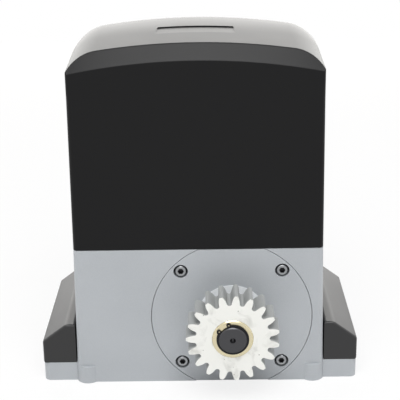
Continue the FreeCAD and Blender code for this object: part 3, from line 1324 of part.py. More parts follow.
def worm_shaft():
    """The motor shaft with a single-start worm cut on its lower part."""
    shaft = body("worm_blank")
    spin = shaft.newObject("PartDesign::Revolution", "worm_turning")
    floor = worm_pitch_radius - wheel_module * 1.2
    low = output_z - worm_length / 2 - 8
    high = output_z + worm_length / 2 + 8
    collar = bearing_c_floor + bearing_c_width
    top = bell_top - bell_wall
    profile = [
        (0, bearing_c_floor), (foot_shaft_radius, bearing_c_floor),
        (foot_shaft_radius, collar), (floor - 1.5, collar), (floor - 1.5, low),
        (floor, low + 1.5), (floor, high - 1.5), (worm_shaft_radius, high),
        (worm_shaft_radius, plate_top + 1), (rotor_shaft_radius, plate_top + 1),
        (rotor_shaft_radius, top - bearing_d_width - 1),
        (tail_shaft_radius, top - bearing_d_width - 1), (tail_shaft_radius, top), (0, top),
    ]
    spin.Profile = outline(shaft, "worm_profile", "XZ", profile)
    spin.ReferenceAxis = (spin.Profile[0], ["V_Axis"])
    spin.Angle = 360
    doc.recompute()
    pitch = math.pi * wheel_module
    turns = 4
    start = output_z - pitch * (turns / 2)
    lean = math.tan(math.radians(20))
    half = pitch / 4 - worm_backlash
    inner = floor - 0.4
    outer = worm_pitch_radius + wheel_module - 0.2
    deep = half + (worm_pitch_radius - inner) * lean
    fine = half - (outer - worm_pitch_radius) * lean
    thread = [(inner, start - deep), (outer, start - fine), (outer, start + fine),
              (inner, start + deep)]
    coil = shaft.newObject("PartDesign::AdditiveHelix", "worm_thread")
    coil.Profile = outline(shaft, "thread_profile", "XZ", thread)
    coil.ReferenceAxis = (coil.Profile[0], ["V_Axis"])
    coil.Mode = 0
    bind(coil, "Pitch", pitch)
    bind(coil, "Height", pitch * turns)
    return piece(place(shaft, motor_x, motor_y, 0), "worm_shaft")


def worm_bearings():
    """Three bearings and the oil seal on the motor shaft."""
    bearing("worm_lower_bearing", foot_shaft_radius, bearing_c_outer, bearing_c_width,
            motor_x, motor_y, bearing_c_floor, "up")
    bearing("worm_upper_bearing", worm_shaft_radius, bearing_b_outer, bearing_b_width,
            motor_x, motor_y, tower_bearing_floor, "up")
    bearing("motor_top_bearing", tail_shaft_radius, bearing_d_outer, bearing_d_width,
            motor_x, motor_y, bell_top - bell_wall - bearing_d_width, "up")
    seal = ring("oil_seal", worm_shaft_radius + running_play, bearing_b_outer,
                tower_top - 6, tower_top, motor_x, motor_y, 0)
    piece(seal, "worm_oil_seal")


def rotor():
    """The laminated rotor with its end rings, pressed on the motor shaft."""
    radius = stator_bore - air_gap
    core = ring("rotor_stack", rotor_shaft_radius, radius, stack_floor, stack_top,
                motor_x, motor_y, 0)
    piece(core, "rotor_core")
    rings = []
    for name, low in (("lower", stack_floor - 8), ("upper", stack_top)):
        rings.append(ring(f"{name}_end_ring", rotor_shaft_radius + 8, radius - 1,
                          low, low + 8, motor_x, motor_y, 0))
    piece(group("end_ring_set", rings), "rotor_end_rings")


def motor_spots():
    spots = []
    for x in (-1, 1):
        for y in (-1, 1):
            spots.append((motor_x + bolt_offset * x, motor_y + bolt_offset * y))
    return spots


def motor_frame():
    """Foot plate, stator, windings, end bell and the four through bolts."""
    hole = bolt_radius + hole_play

    def bored(name, blank, label, low, length):
        rods = [rod(f"{name}_hole_{index + 1}", hole, length, x, y, low)
                for index, (x, y) in enumerate(motor_spots())]
        return piece(cut(f"{name}_bored", blank, fused(f"{name}_holes", rods)), label)

    rim = motor_radius - 8
    profile = [
        (worm_shaft_radius + 2, tower_top), (plate_radius, tower_top),
        (plate_radius, plate_top), (motor_radius, plate_top), (motor_radius, stack_floor),
        (rim, stack_floor), (rim, plate_top), (worm_shaft_radius + 2, plate_top),
    ]
    plate = turned("plate_blank", profile, motor_x, motor_y, 0)
    bored("plate", plate, "motor_plate", tower_top - 1, stack_floor - tower_top + 2)
    core = ring("stator_stack", stator_bore, motor_radius, stack_floor, stack_top,
                motor_x, motor_y, 0)
    bored("stator", core, "stator_core", stack_floor - 1, stack_length + 2)
    heads = []
    for name, low in (("lower", stack_floor - winding_height), ("upper", stack_top)):
        heads.append(ring(f"{name}_winding", stator_bore + 1.5, rim - 1, low,
                          low + winding_height, motor_x, motor_y, 0))
    piece(group("winding_set", heads), "stator_windings")
    seat = bell_top - bell_wall - bearing_d_width
    profile = [
        (motor_radius, stack_top), (motor_radius, bell_top - 3), (motor_radius - 3, bell_top),
        (tail_shaft_radius + 2, bell_top), (tail_shaft_radius + 2, bell_top - bell_wall),
        (bearing_d_outer, bell_top - bell_wall), (bearing_d_outer, seat),
        (bearing_d_outer + 4, seat), (bearing_d_outer + 4, bell_top - bell_wall),
        (rim, bell_top - bell_wall), (rim, stack_top),
    ]
    bell = turned("bell_blank", profile, motor_x, motor_y, 0)
    bored("bell", bell, "end_bell", stack_top - 1, bell_height + 2)
    bolts = []
    foot = tower_top - 12
    profile = [
        (0, foot), (bolt_radius, foot), (bolt_radius, bell_top), (bolt_head, bell_top),
        (bolt_head, bell_top + 4), (0, bell_top + 4),
    ]
    for index, (x, y) in enumerate(motor_spots()):
        bolts.append(turned(f"motor_bolt_{index + 1}", profile, x, y, 0))
    piece(group("motor_bolt_set", bolts), "motor_bolts")


# ------------------------------------------------------------- electronics


def board_mounts():
    """Corners of the control board, as x and z."""
    across = board_width / 2 - 5
    spots = []
    for x in (carrier_x - across, carrier_x + across):
        for z in (board_low + 5, board_low + board_height - 5):
            spots.append((x, z))
    return spots


def board_carrier():
    """A bent sheet that stands on the tray floor, with its two screws."""
    carrier = body("carrier")
    half = carrier_width / 2
    top = tray_floor + carrier_height
    leg = half - carrier_leg
    sill = tray_floor + carrier_window
    face = [(-half, tray_floor), (-leg, tray_floor), (-leg, sill), (leg, sill),
            (leg, tray_floor), (half, tray_floor), (half, top), (-half, top)]
    face = [(carrier_x + x, z) for x, z in face]
    pad(carrier, "carrier_sheet", outline(carrier, "carrier_face", "XZ", face, -carrier_y),
        carrier_thickness, True)
    feet = sketch_on(carrier, "carrier_feet_plan", "XY", tray_floor)
    back = carrier_y + carrier_thickness
    for side in (-1, 1):
        centre = carrier_x + (half - carrier_leg / 2) * side
        reach = carrier_leg / 2
        add_loop(feet, rectangle(centre - reach, centre + reach, back - 1, back + carrier_foot))
    pad(carrier, "carrier_feet", feet, carrier_thickness)
    spots = [(carrier_x + (half - carrier_leg / 2) * side, back + carrier_foot / 2)
             for side in (-1, 1)]
    holes = [(x, y, Size(2.2, "2.2")) for x, y in spots]
    pocket(carrier, "carrier_foot_holes",
           rounds(carrier, "foot_hole_plan", "XY", holes, tray_floor + carrier_thickness),
           carrier_thickness + 1)
    threads = [(x, z, Size(1.5, "1.5")) for x, z in board_mounts()]
    pocket(carrier, "board_threads",
           rounds(carrier, "board_thread_plan", "XZ", threads, -(carrier_y - 1)),
           carrier_thickness + 2)
    piece(carrier, "board_carrier")
    screws = []
    low = tray_floor + carrier_thickness
    profile = [(0, low - 7), (2, low - 7), (2, low), (3.6, low), (3.6, low + 1.6),
               (2.6, low + 2.6), (0, low + 2.6)]
    for x, y in spots:
        screws.append(turned(f"carrier_screw_{len(screws) + 1}", profile, x, y, 0))
    piece(group("carrier_screw_set", screws), "carrier_screws")


def control_board():
    """The board on its spacers and screws."""
    board = body("board")
    sides = (board_left, board_left + board_width, board_low, board_low + board_height)
    corner = Size(2, "2")
    plan = rounded(board, "board_face", "XZ", sides, corner, corner, -board_y)
    pad(board, "board_sheet", plan, board_thickness, True)
    holes = [(x, z, Size(1.6, "1.6")) for x, z in board_mounts()]
    pocket(board, "board_holes", rounds(board, "board_hole_plan", "XZ", holes, -(board_y - 1)),
           board_thickness + 2)
    piece(board, "control_board")
    spacers = []
    screws = []
    low = -(carrier_thickness + spacer_height + board_thickness)
    profile = [(0, low), (1.5, low), (1.5, 0), (2.8, 0), (2.8, 1.8), (0, 1.8)]
    for x, z in board_mounts():
        count = len(spacers) + 1
        spacers.append(ring(f"board_spacer_{count}", 1.6, 3, 0, spacer_height,
                            x, board_y - spacer_height, z, "house"))
        screws.append(turned(f"board_screw_{count}", profile, x, board_front, z, "house"))
    piece(group("board_spacer_set", spacers), "board_spacers")
    piece(group("board_screw_set", screws), "board_screws")


def board_box(name, left, low, wide, deep, high):
    """A box on the board: left edge and height measured from the board's corner."""
    x = board_left + left
    z = board_low + low
    return block(name, (x, board_front, z), (x + wide, board_front + deep, z + high))


def board_parts():
    """Terminal blocks, relays, fuse holder and processor on the board."""
    blocks = []
    for index, (left, count) in enumerate(((9, 5), (36, 5))):
        body_box = board_box(f"terminal_body_{index + 1}", left, 3, 5 * count, 9, 10)
        holes = []
        for way in range(count):
            x = board_left + left + 2.5 + 5 * way
            holes.append(block(f"terminal_well_{index + 1}_{way + 1}",
                               (x - 1.6, board_front + 6, board_low + 6),
                               (x + 1.6, board_front + 10, board_low + 10)))
        wells = fused(f"terminal_wells_{index + 1}", holes)
        blocks.append(cut(f"terminal_block_{index + 1}", body_box, wells))
    piece(group("terminal_set", blocks), "terminal_blocks")
    rise = board_height - relay_drop
    boxes = [board_box(f"relay_{index + 1}", left, rise, relay_width, relay_depth,
                       relay_height)
             for index, left in enumerate((8, 30))]
    piece(group("relay_set", boxes), "relays")
    rise = board_height - fuse_drop
    piece(board_box("fuse_body", 54, rise, 9, 10, fuse_length), "fuse_holder")
    chip = board_box("processor_body", 27, 30, processor_side, 2.2, processor_side)
    piece(chip, "processor")


def power_parts():
    """Start capacitor with its clip, transformer, end of travel sensor and cable grommet."""
    x = capacitor_x
    y = front_face + capacitor_setback
    profile = [(0, 0), (capacitor_radius - 1, 0), (capacitor_radius, 1),
               (capacitor_radius, capacitor_height - 2),
               (capacitor_radius - 2, capacitor_height), (0, capacitor_height)]
    piece(turned("capacitor_can", profile, x, y, tray_floor), "start_capacitor")
    clip = ring("clip_band", capacitor_radius, capacitor_radius + 1.5, 8, 20,
                x, y, tray_floor)
    foot = block("clip_foot", (x - 6, y + capacitor_radius + 0.5, tray_floor),
                 (x + 6, y + capacitor_radius + 1.5, tray_floor + 20))
    sole = block("clip_sole", (x - 6, y + capacitor_radius + 0.5, tray_floor),
                 (x + 6, y + capacitor_radius + 10, tray_floor + 1.5))
    piece(fused("clip_whole", [clip, foot, sole]), "capacitor_clip")
    low = tray_floor
    side = capacitor_x + 1
    across = core_depth / 2
    behind = y + capacitor_radius + 10
    span = (behind, behind + core_length)
    inner = (behind + core_leg, behind + core_length - core_leg)
    leg = (behind + core_length / 2 - core_leg, behind + core_length / 2 + core_leg)
    stack = block("core_block", (side - across, span[0], low),
                  (side + across, span[1], low + core_height))
    room = (side - across - coil_proud, inner[0], low + core_leg)
    top = (side + across + coil_proud, inner[1], low + core_height - core_leg)
    windows = block("coil_room", room, top)
    middle_leg = block("core_leg", (side - across, leg[0], low + core_leg),
                       (side + across, leg[1], low + core_height - core_leg))
    frame = cut("core_frame", stack, windows)
    piece(fused("core_whole", [frame, middle_leg]), "transformer_core")
    coil = block("coil_block", room, top)
    bore = block("coil_bore", (side - across, leg[0], low), (side + across, leg[1],
                                                              low + core_height))
    piece(cut("coil_finished", coil, bore), "transformer_coil")
    sensor = block("sensor_case", (output_x - 15, front_face + 5, seam_height),
                   (output_x + 15, front_face + 15, seam_height + 22))
    piece(sensor, "limit_sensor")
    low = tray_floor - deck_thickness
    lip = cable_hole + 3
    profile = [
        (grommet_bore, low - 2), (lip, low - 2), (lip, low), (cable_hole, low),
        (cable_hole, tray_floor), (lip, tray_floor), (lip, tray_floor + 2),
        (grommet_bore, tray_floor + 2),
    ]
    piece(turned("grommet", profile, cable_x, cable_y, 0), "cable_grommet")


# ------------------------------------------------------------- release at the rear


def release_lever():
    """The lever with its cam, lock bore, rivet bore and finger groove."""
    rise = number(clutch_travel) / (math.pi / 2)
    low = number(cam_low)
    half = number(lever_depth) / 2
    far = -number(lever_length)
    points = []
    steps = 18
    for index in range(steps + 1):
        angle = math.pi / 2 * index / steps
        reach = low + rise * angle
        points.append(V(reach * math.sin(angle) + rise * math.cos(angle),
                        -reach * math.cos(angle) + rise * math.sin(angle), 0))
    curve = Part.BSplineCurve()
    curve.interpolate(points)
    first = points[0]
    last = points[-1]
    corners = [last, V(last.x, half, 0), V(far, half, 0), V(far, -half, 0), V(-low, -half, 0),
               V(-low, -low, 0), first]
    edges = [curve.toShape()]
    for start, end in zip(corners, corners[1:]):
        edges.append(Part.makeLine(start, end))
    face = Part.Face(Part.Wire(edges))
    plan = doc.addObject("Part::Feature", "lever_plan")
    plan.Shape = face
    blank = doc.addObject("Part::Extrusion", "lever_blank")
    blank.Base = plan
    blank.DirMode = "Custom"
    blank.Dir = V(0, 0, 1)
    blank.Solid = True
    bind(blank, "LengthFwd", lever_height)
    place(blank, output_x, pivot_y, output_z - lever_height / 2)
    tools = [
        rod("lever_pin_bore", lever_pin + running_play, lever_height + 2,
            output_x, pivot_y, output_z - lever_height / 2 - 1),
        rod("lock_bore", lock_radius, lever_depth + 2, output_x - lock_offset,
            pivot_y - lever_depth / 2 - 1, output_z, "house"),
        rod("rivet_bore", 2, 12, output_x - lock_offset, rear_face - 10,
            output_z + rivet_rise, "house"),
        rod("finger_groove", 9, lever_height + 2, output_x - lever_length + 9,
            rear_face + 4.5, output_z - lever_height / 2 - 1),
    ]
    return piece(cut("lever_finished", blank, fused("lever_cuts", tools)), "release_lever")


def release_parts():
    """Pivot pin, lock barrel with its tail, keyhole flap, rivet and plunger."""
    reach = lever_height / 2 + lever_gap + 8
    piece(rod("pivot_pin", lever_pin, reach * 2, output_x, pivot_y, output_z - reach),
          "lever_pin")
    x = output_x - lock_offset
    back = rear_face - lever_depth - body_gap
    radius = lock_radius - running_play
    barrel = rod("barrel_blank", radius, lever_depth + body_gap + 1, x, back - 1,
                 output_z, "house")
    trim = block("barrel_trim", (x - 12, rear_face, output_z - 12),
                 (x + 12, rear_face + 5, output_z + 12))
    tail = block("barrel_tail", (x - 16, back - 3, output_z - 4), (x + 6, back, output_z + 4))
    slit = keyhole_width / 2
    keyhole = block("keyhole", (x - slit, rear_face - 6, output_z - 4),
                    (x + slit, rear_face + 1, output_z + 4))
    whole = fused("barrel_whole", [barrel, tail])
    tools = fused("barrel_cuts", [trim, keyhole])
    piece(cut("barrel_finished", whole, tools), "lock_barrel")

    flap = body("flap")
    rise = output_z + rivet_rise
    plan = sketch_on(flap, "flap_plan", "XZ", -(rear_face + 0.5))
    big = number(flap_radius)
    small = 5.0
    run = number(rivet_rise)
    centre = V(number(x), number(output_z), 0)
    above = V(number(x), number(rise), 0)
    lean = math.asin((big - small) / run)
    turn = V(math.cos(lean), math.sin(lean), 0)
    mirror = V(-turn.x, turn.y, 0)
    low_arc = Part.Arc(centre + mirror * big, centre - V(0, big, 0), centre + turn * big)
    high_arc = Part.Arc(above + turn * small, above + V(0, small, 0), above + mirror * small)
    plan.addGeometry(low_arc, False)
    plan.addGeometry(Part.LineSegment(centre + turn * big, above + turn * small), False)
    plan.addGeometry(high_arc, False)
    plan.addGeometry(Part.LineSegment(above + mirror * small, centre + mirror * big), False)
    pad(flap, "flap_sheet", plan, flap_thickness, True)
    hole = [(x, rise, 2 + running_play)]
    pocket(flap, "flap_hole", rounds(flap, "flap_hole_plan", "XZ", hole, -(rear_face)),
           flap_thickness + 2)
    piece(flap, "keyhole_cover")
    end = 0.5 + flap_thickness + body_gap
    profile = [(0, -8), (2, -8), (2, end), (4, end), (4, end + 0.5), (3.2, end + 1), (0, end + 1)]
    piece(turned("rivet", profile, x, rear_face, rise, "house"), "flap_rivet")
    tip = cam_face - body_gap
    profile = [(0, rod_end + body_gap), (plunger_radius - 0.6, rod_end + body_gap),
               (plunger_radius, rod_end + body_gap + 0.6), (plunger_radius, tip), (0, tip)]
    plunger = turned("plunger_pin", profile, output_x, front_face, output_z, "house")
    piece(plunger, "release_plunger")


# ------------------------------------------------------------- all sub-parts

gearbox_base()
levelling_screws()
foot_cover(-1, "left_foot_cover")
foot_cover(1, "right_foot_cover")
top_cover()
cover_screws()
cover_gasket()
output_flange()
flange_screws()
piece(shaft_ring("cap_ring", seal_outer, cap_radius, -cap_proud, cap_depth), "seal_cap")
piece(shaft_ring("lip_seal", shaft_radius + running_play, seal_outer, body_gap,
                 body_gap + seal_width), "output_seal")
bearing("front_shaft_bearing", shaft_radius, bearing_a_outer, bearing_a_width,
        output_x, front_face + bearing_a_front, output_z, "house")
bearing("rear_shaft_bearing", shaft_tail_radius, bearing_b_outer, bearing_b_width,
        output_x, front_face + bearing_b_front, output_z, "house")
key = shaft_key("pinion_key", key_angle, pinion_front - insert_proud + 0.4, pinion_back)
slot_middle = clutch_front + clutch_length / 2
slot_half = pin_radius + body_gap
cross_slot = block(
    "cross_slot",
    (output_x - 13, front_face + slot_middle - clutch_travel - slot_half, output_z - slot_half),
    (output_x + 13, front_face + slot_middle + slot_half, output_z + slot_half),
)
output_shaft(key, cross_slot)
hub_insert(key)
drive_pinion()
retaining_ring(key_angle)
piece(shaft_ring("sleeve_spacer", shaft_radius, spacer_radius, pinion_back, -1.5),
      "spacer_sleeve")
cross_pin = rod("cross_pin", pin_radius, clutch_radius * 2 - 1,
                output_x - clutch_radius + 0.5, front_face + slot_middle, output_z, "right")
piece(cross_pin, "clutch_cross_pin")
clutch(cross_pin)
push_rod = rod("rod_blank", rod_radius, rod_end - clutch_front - 2, output_x,
               front_face + clutch_front + 2, output_z, "house")
piece(cut("rod_finished", push_rod, cross_pin), "clutch_push_rod")
worm_wheel(dog_boxes("dog_room", body_gap, dog_reach + body_gap))
worm_shaft()
worm_bearings()
rotor()
motor_frame()
board_carrier()
control_board()
board_parts()
power_parts()
release_lever()
release_parts()

# ------------------------------------------------------------- checks and export

doc.recompute()
for item in doc.Objects:
    if "Invalid" in item.State or "Error" in item.State:
        raise RuntimeError(f"{item.Name} did not build")
for item in pieces:
    if item.Shape.isNull() or not item.Shape.isValid():
        raise RuntimeError(f"{item.Label} is not a sound shape")
os.makedirs("parts", exist_ok=True)
for item in pieces:
    item.Shape.exportStep(f"parts/{item.Label}.step")
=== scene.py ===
import bpy
import json
import math
from mathutils import Matrix, Vector


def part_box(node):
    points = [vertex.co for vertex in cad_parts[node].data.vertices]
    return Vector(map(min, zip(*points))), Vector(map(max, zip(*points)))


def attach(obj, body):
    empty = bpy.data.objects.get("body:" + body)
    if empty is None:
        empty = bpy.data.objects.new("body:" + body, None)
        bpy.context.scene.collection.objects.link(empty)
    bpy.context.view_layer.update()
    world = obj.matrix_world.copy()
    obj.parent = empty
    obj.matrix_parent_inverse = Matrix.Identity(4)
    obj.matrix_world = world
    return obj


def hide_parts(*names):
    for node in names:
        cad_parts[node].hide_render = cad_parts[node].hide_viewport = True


# Sliding gate motor: the cast base, its moulded covers, the rack pinion on its shaft and the
# works inside. Metres, in the frame of the solids: X to the right seen from the gate, Y
# towards the house, Z up. Lengths are written in millimetres and multiplied by MM.

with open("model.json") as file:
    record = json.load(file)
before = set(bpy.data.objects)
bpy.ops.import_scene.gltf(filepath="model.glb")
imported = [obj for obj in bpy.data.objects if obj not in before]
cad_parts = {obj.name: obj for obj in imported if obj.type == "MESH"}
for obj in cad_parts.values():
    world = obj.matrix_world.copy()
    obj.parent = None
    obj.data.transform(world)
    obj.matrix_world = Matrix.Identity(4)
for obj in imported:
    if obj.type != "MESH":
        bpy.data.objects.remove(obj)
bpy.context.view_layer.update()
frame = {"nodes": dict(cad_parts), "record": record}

MM = 0.001


def low_of(node):
    return Vector(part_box(node)[0])


def high_of(node):
    return Vector(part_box(node)[1])


def middle_of(node):
    return (low_of(node) + high_of(node)) / 2


shaft_centre = middle_of("output_shaft")

# ---------------------------------------------------------------- colour and nodes


def colour(hex_code):
    """An sRGB hex colour as linear red, green, blue, alpha."""
    values = []
    for start in (0, 2, 4):
        part = int(hex_code[start:start + 2], 16) / 255
        values.append(part / 12.92 if part <= 0.04045 else ((part + 0.055) / 1.055) ** 2.4)
    return (*values, 1.0)


def add(tree, kind, settings=None, inputs=None):
    """Adds a node, sets its properties, and fills or links its sockets by name or number."""
    item = tree.nodes.new(kind)
    for name, value in (settings or {}).items():
        setattr(item, name, value)
    for name, value in (inputs or {}).items():
        socket = item.inputs[name]
        if isinstance(value, bpy.types.NodeSocket):
            tree.links.new(value, socket)
        else:
            socket.default_value = value
    return item


def start_material(name):
    """A new material with its shader, and Object coordinates to build on."""
    material = bpy.data.materials.new(name)
    material.use_nodes = True
    tree = material.node_tree
    shader = tree.nodes["Principled BSDF"]
    place = add(tree, "ShaderNodeTexCoord").outputs["Object"]
    return material, tree, shader, place


def per_metre(size_mm):
    """Scale of a noise whose spots are about a size given in millimetres."""
    return 1 / (size_mm * MM)


def waves_per_metre(spacing_mm):
    """Scale of a wave whose crests lie a spacing given in millimetres apart. Blender's wave
    turns 20 radians in one unit."""
    return math.tau / 20 * per_metre(spacing_mm)


def powder_coated_aluminium():
    """Silver polyester powder on a die casting: even satin grey with a faint orange peel.
    The peel is 2 mm across as on the real coat, and the cloudiness is how evenly a gun lays
    it, over some 60 mm. Its metal flakes are a tenth of a millimetre and drawn at 0.7 mm, so
    that they show."""
    material, tree, shader, place = start_material("powder_coated_aluminium")
    peel = add(tree, "ShaderNodeTexNoise",
               inputs={"Vector": place, "Scale": per_metre(2.2), "Detail": 3})
    grit = add(tree, "ShaderNodeTexNoise",
               inputs={"Vector": place, "Scale": per_metre(0.7), "Detail": 2})
    cloud = add(tree, "ShaderNodeTexNoise",
                inputs={"Vector": place, "Scale": per_metre(60), "Detail": 2})
    cloudy = add(tree, "ShaderNodeMapRange",
                 inputs={"Value": cloud.outputs["Fac"], "From Min": 0.3, "From Max": 0.7})
    gritty = add(tree, "ShaderNodeMapRange",
                 inputs={"Value": grit.outputs["Fac"], "From Min": 0.35, "From Max": 0.75,
                         "To Max": 0.5})
    body = add(tree, "ShaderNodeMix", {"data_type": "RGBA"},
               {0: cloudy.outputs["Result"], 6: colour("ABAFB3"), 7: colour("B1B5B9")})
    flake = add(tree, "ShaderNodeMix", {"data_type": "RGBA"},
                {0: gritty.outputs["Result"], 6: body.outputs[2], 7: colour("BABEC2")})
    tree.links.new(flake.outputs[2], shader.inputs["Base Color"])
    bump = add(tree, "ShaderNodeBump", inputs={
        "Height": peel.outputs["Fac"], "Strength": 0.25, "Distance": 0.05 * MM})
    tree.links.new(bump.outputs["Normal"], shader.inputs["Normal"])
    shader.inputs["Roughness"].default_value = 0.42
    shader.inputs["IOR"].default_value = 1.5
    return material


def moulded_plastic(name, hex_code, roughness=0.42, grain_mm=0.9, strength=0.25, gloss=0.5):
    """Plastic or rubber from a spark-eroded mould: satin, with a fine even grain, and a gleam
    that varies over some 80 mm as the melt flowed. The real grain is 0.1 to 0.3 mm and is
    drawn about 1 mm across, so that it shows."""
    material, tree, shader, place = start_material(name)
    grain = add(tree, "ShaderNodeTexNoise",
                inputs={"Vector": place, "Scale": per_metre(grain_mm), "Detail": 2})
    flow = add(tree, "ShaderNodeTexNoise",
               inputs={"Vector": place, "Scale": per_metre(80), "Detail": 2})
    rough = add(tree, "ShaderNodeMapRange", inputs={
        "Value": flow.outputs["Fac"], "To Min": roughness - 0.03, "To Max": roughness + 0.03})
    tree.links.new(rough.outputs["Result"], shader.inputs["Roughness"])
    bump = add(tree, "ShaderNodeBump", inputs={
        "Height": grain.outputs["Fac"], "Strength": strength, "Distance": 0.03 * MM})
    tree.links.new(bump.outputs["Normal"], shader.inputs["Normal"])
    shader.inputs["Base Color"].default_value = colour(hex_code)
    shader.inputs["IOR"].default_value = 1.53
    shader.inputs["Specular IOR Level"].default_value = gloss
    return material


def cast_nylon():
    """Cast nylon gear: flat faces ivory white, with grey smears about 14 mm long and a
    speck 1 mm across in one of four cells of 4.5 mm, and painted grey shade on all that
    doesn't face along the shaft, the tooth flanks and lands."""
    material, tree, shader, place = start_material("cast_nylon")
    normal = add(tree, "ShaderNodeTexCoord").outputs["Normal"]
    facing = add(tree, "ShaderNodeSeparateXYZ", inputs={"Vector": normal})
    level = add(tree, "ShaderNodeMath", {"operation": "ABSOLUTE"}, {0: facing.outputs["Y"]})
    # Painted shade: the tooth flanks and lands, which don't face along the shaft, are greyed as
    # shaded faces look.
    painted_flank_shade = add(tree, "ShaderNodeMapRange", inputs={
        "Value": level.outputs[0], "From Min": 0.35, "From Max": 0.75,
        "To Min": 1.0, "To Max": 0.0})
    specks = add(tree, "ShaderNodeTexVoronoi",
                 inputs={"Vector": place, "Scale": per_metre(4.5), "Randomness": 1.0})
    dots = add(tree, "ShaderNodeMapRange",
               inputs={"Value": specks.outputs["Distance"], "From Min": 0.13, "From Max": 0.08})
    pick = add(tree, "ShaderNodeSeparateColor", inputs={"Color": specks.outputs["Color"]})
    few = add(tree, "ShaderNodeMapRange",
              inputs={"Value": pick.outputs["Red"], "From Min": 0.72, "From Max": 0.75})
    marks = add(tree, "ShaderNodeMath", {"operation": "MULTIPLY"},
                {0: dots.outputs["Result"], 1: few.outputs["Result"]})
    smear = add(tree, "ShaderNodeTexNoise",
                inputs={"Vector": place, "Scale": per_metre(14), "Detail": 4,
                        "Distortion": 0.8})
    smears = add(tree, "ShaderNodeMapRange",
                 inputs={"Value": smear.outputs["Fac"], "From Min": 0.5, "From Max": 0.75})
    body = add(tree, "ShaderNodeMix", {"data_type": "RGBA"},
               {0: smears.outputs["Result"], 6: colour("F0F0EB"), 7: colour("D0D0CA")})
    shade = add(tree, "ShaderNodeMix", {"data_type": "RGBA"},
                {0: marks.outputs[0], 6: body.outputs[2], 7: colour("85837B")})
    # The grey laid here is painted shade on the flanks and lands.
    flank_shaded = add(tree, "ShaderNodeMix", {"data_type": "RGBA"},
                 {0: painted_flank_shade.outputs["Result"], 6: shade.outputs[2], 7: colour("A2A4A3")})
    tree.links.new(flank_shaded.outputs[2], shader.inputs["Base Color"])
    shader.inputs["Roughness"].default_value = 0.38
    shader.inputs["IOR"].default_value = 1.53
    return material


def turned_metal(name, hex_code, roughness):
    """Metal faced and turned on a lathe: rings about the output shaft. A tool leaves them 0.1
    to 0.3 mm apart, and they are drawn 3.14 mm apart, so that they show."""
    material, tree, shader, place = start_material(name)
    centred = add(tree, "ShaderNodeMapping", {"vector_type": "POINT"},
                  {"Vector": place, "Location": tuple(-shaft_centre)})
    rings = add(tree, "ShaderNodeTexWave",
                {"wave_type": "RINGS", "rings_direction": "Y"},
                {"Vector": centred.outputs["Vector"], "Scale": waves_per_metre(3.14),
                 "Distortion": 0.6, "Detail": 2, "Detail Scale": 3})
    bump = add(tree, "ShaderNodeBump", inputs={
        "Height": rings.outputs["Fac"], "Strength": 0.2, "Distance": 0.02 * MM})
    tree.links.new(bump.outputs["Normal"], shader.inputs["Normal"])
    wear = add(tree, "ShaderNodeTexNoise",
               inputs={"Vector": place, "Scale": per_metre(5), "Detail": 3})
    rough = add(tree, "ShaderNodeMapRange", inputs={
        "Value": wear.outputs["Fac"], "To Min": roughness - 0.06, "To Max": roughness + 0.06})
    tree.links.new(rough.outputs["Result"], shader.inputs["Roughness"])
    shader.inputs["Base Color"].default_value = colour(hex_code)
    shader.inputs["Metallic"].default_value = 1.0
    return material


def plain_metal(name, hex_code, roughness, grain_mm=1.5, strength=0.15):
    """Metal with no direction to it, as ground, cast, plated or blackened: slightly cloudy,
    with a grain drawn above 1 mm where the real one is some tenths, so that it shows."""
    material, tree, shader, place = start_material(name)
    cloud = add(tree, "ShaderNodeTexNoise",
                inputs={"Vector": place, "Scale": per_metre(grain_mm * 6), "Detail": 3})
    grain = add(tree, "ShaderNodeTexNoise",
                inputs={"Vector": place, "Scale": per_metre(grain_mm), "Detail": 2})
    rough = add(tree, "ShaderNodeMapRange", inputs={
        "Value": cloud.outputs["Fac"], "To Min": roughness - 0.07, "To Max": roughness + 0.07})
    tree.links.new(rough.outputs["Result"], shader.inputs["Roughness"])
    bump = add(tree, "ShaderNodeBump", inputs={
        "Height": grain.outputs["Fac"], "Strength": strength, "Distance": 0.03 * MM})
    tree.links.new(bump.outputs["Normal"], shader.inputs["Normal"])
    shader.inputs["Base Color"].default_value = colour(hex_code)
    shader.inputs["Metallic"].default_value = 1.0
    return material


def layered(name, hex_code, gap_code, spacing_mm, metallic, roughness):
    """Stacked laminations or wound wire: bands up the axis. Sheets and wire are about half a
    millimetre thick, and their bands are drawn some ten times as coarse, so that they show."""
    material, tree, shader, place = start_material(name)
    bands = add(tree, "ShaderNodeTexWave", {"wave_type": "BANDS", "bands_direction": "Z"},
                {"Vector": place, "Scale": waves_per_metre(spacing_mm), "Distortion": 0.4,
                 "Detail": 1})
    shade = add(tree, "ShaderNodeMix", {"data_type": "RGBA"},
                {0: bands.outputs["Fac"], 6: colour(gap_code), 7: colour(hex_code)})
    tree.links.new(shade.outputs[2], shader.inputs["Base Color"])
    bump = add(tree, "ShaderNodeBump", inputs={
        "Height": bands.outputs["Fac"], "Strength": 0.5, "Distance": 0.1 * MM})
    tree.links.new(bump.outputs["Normal"], shader.inputs["Normal"])
    shader.inputs["Metallic"].default_value = metallic
    shader.inputs["Roughness"].default_value = roughness
    return material


# Die cast aluminium, powder coated silver: an even satin grey, a little cool.
painted_casting = powder_coated_aluminium()

# ABS: near black. The cover's fine grain takes most of its gloss, so that the flat front stays
# dark beside the sheen on its roof, and the foot covers gleam more along their slopes.
black_abs = moulded_plastic("satin_black_abs", "0F0F10", 0.36, gloss=0.17)
# Painted light: the foot covers are the same ABS, drawn a lighter black for the floor light that
# they catch.
foot_abs_painted_light = moulded_plastic("grained_black_abs_painted_light", "1B1B1C", 0.4, 1.1, 0.3)

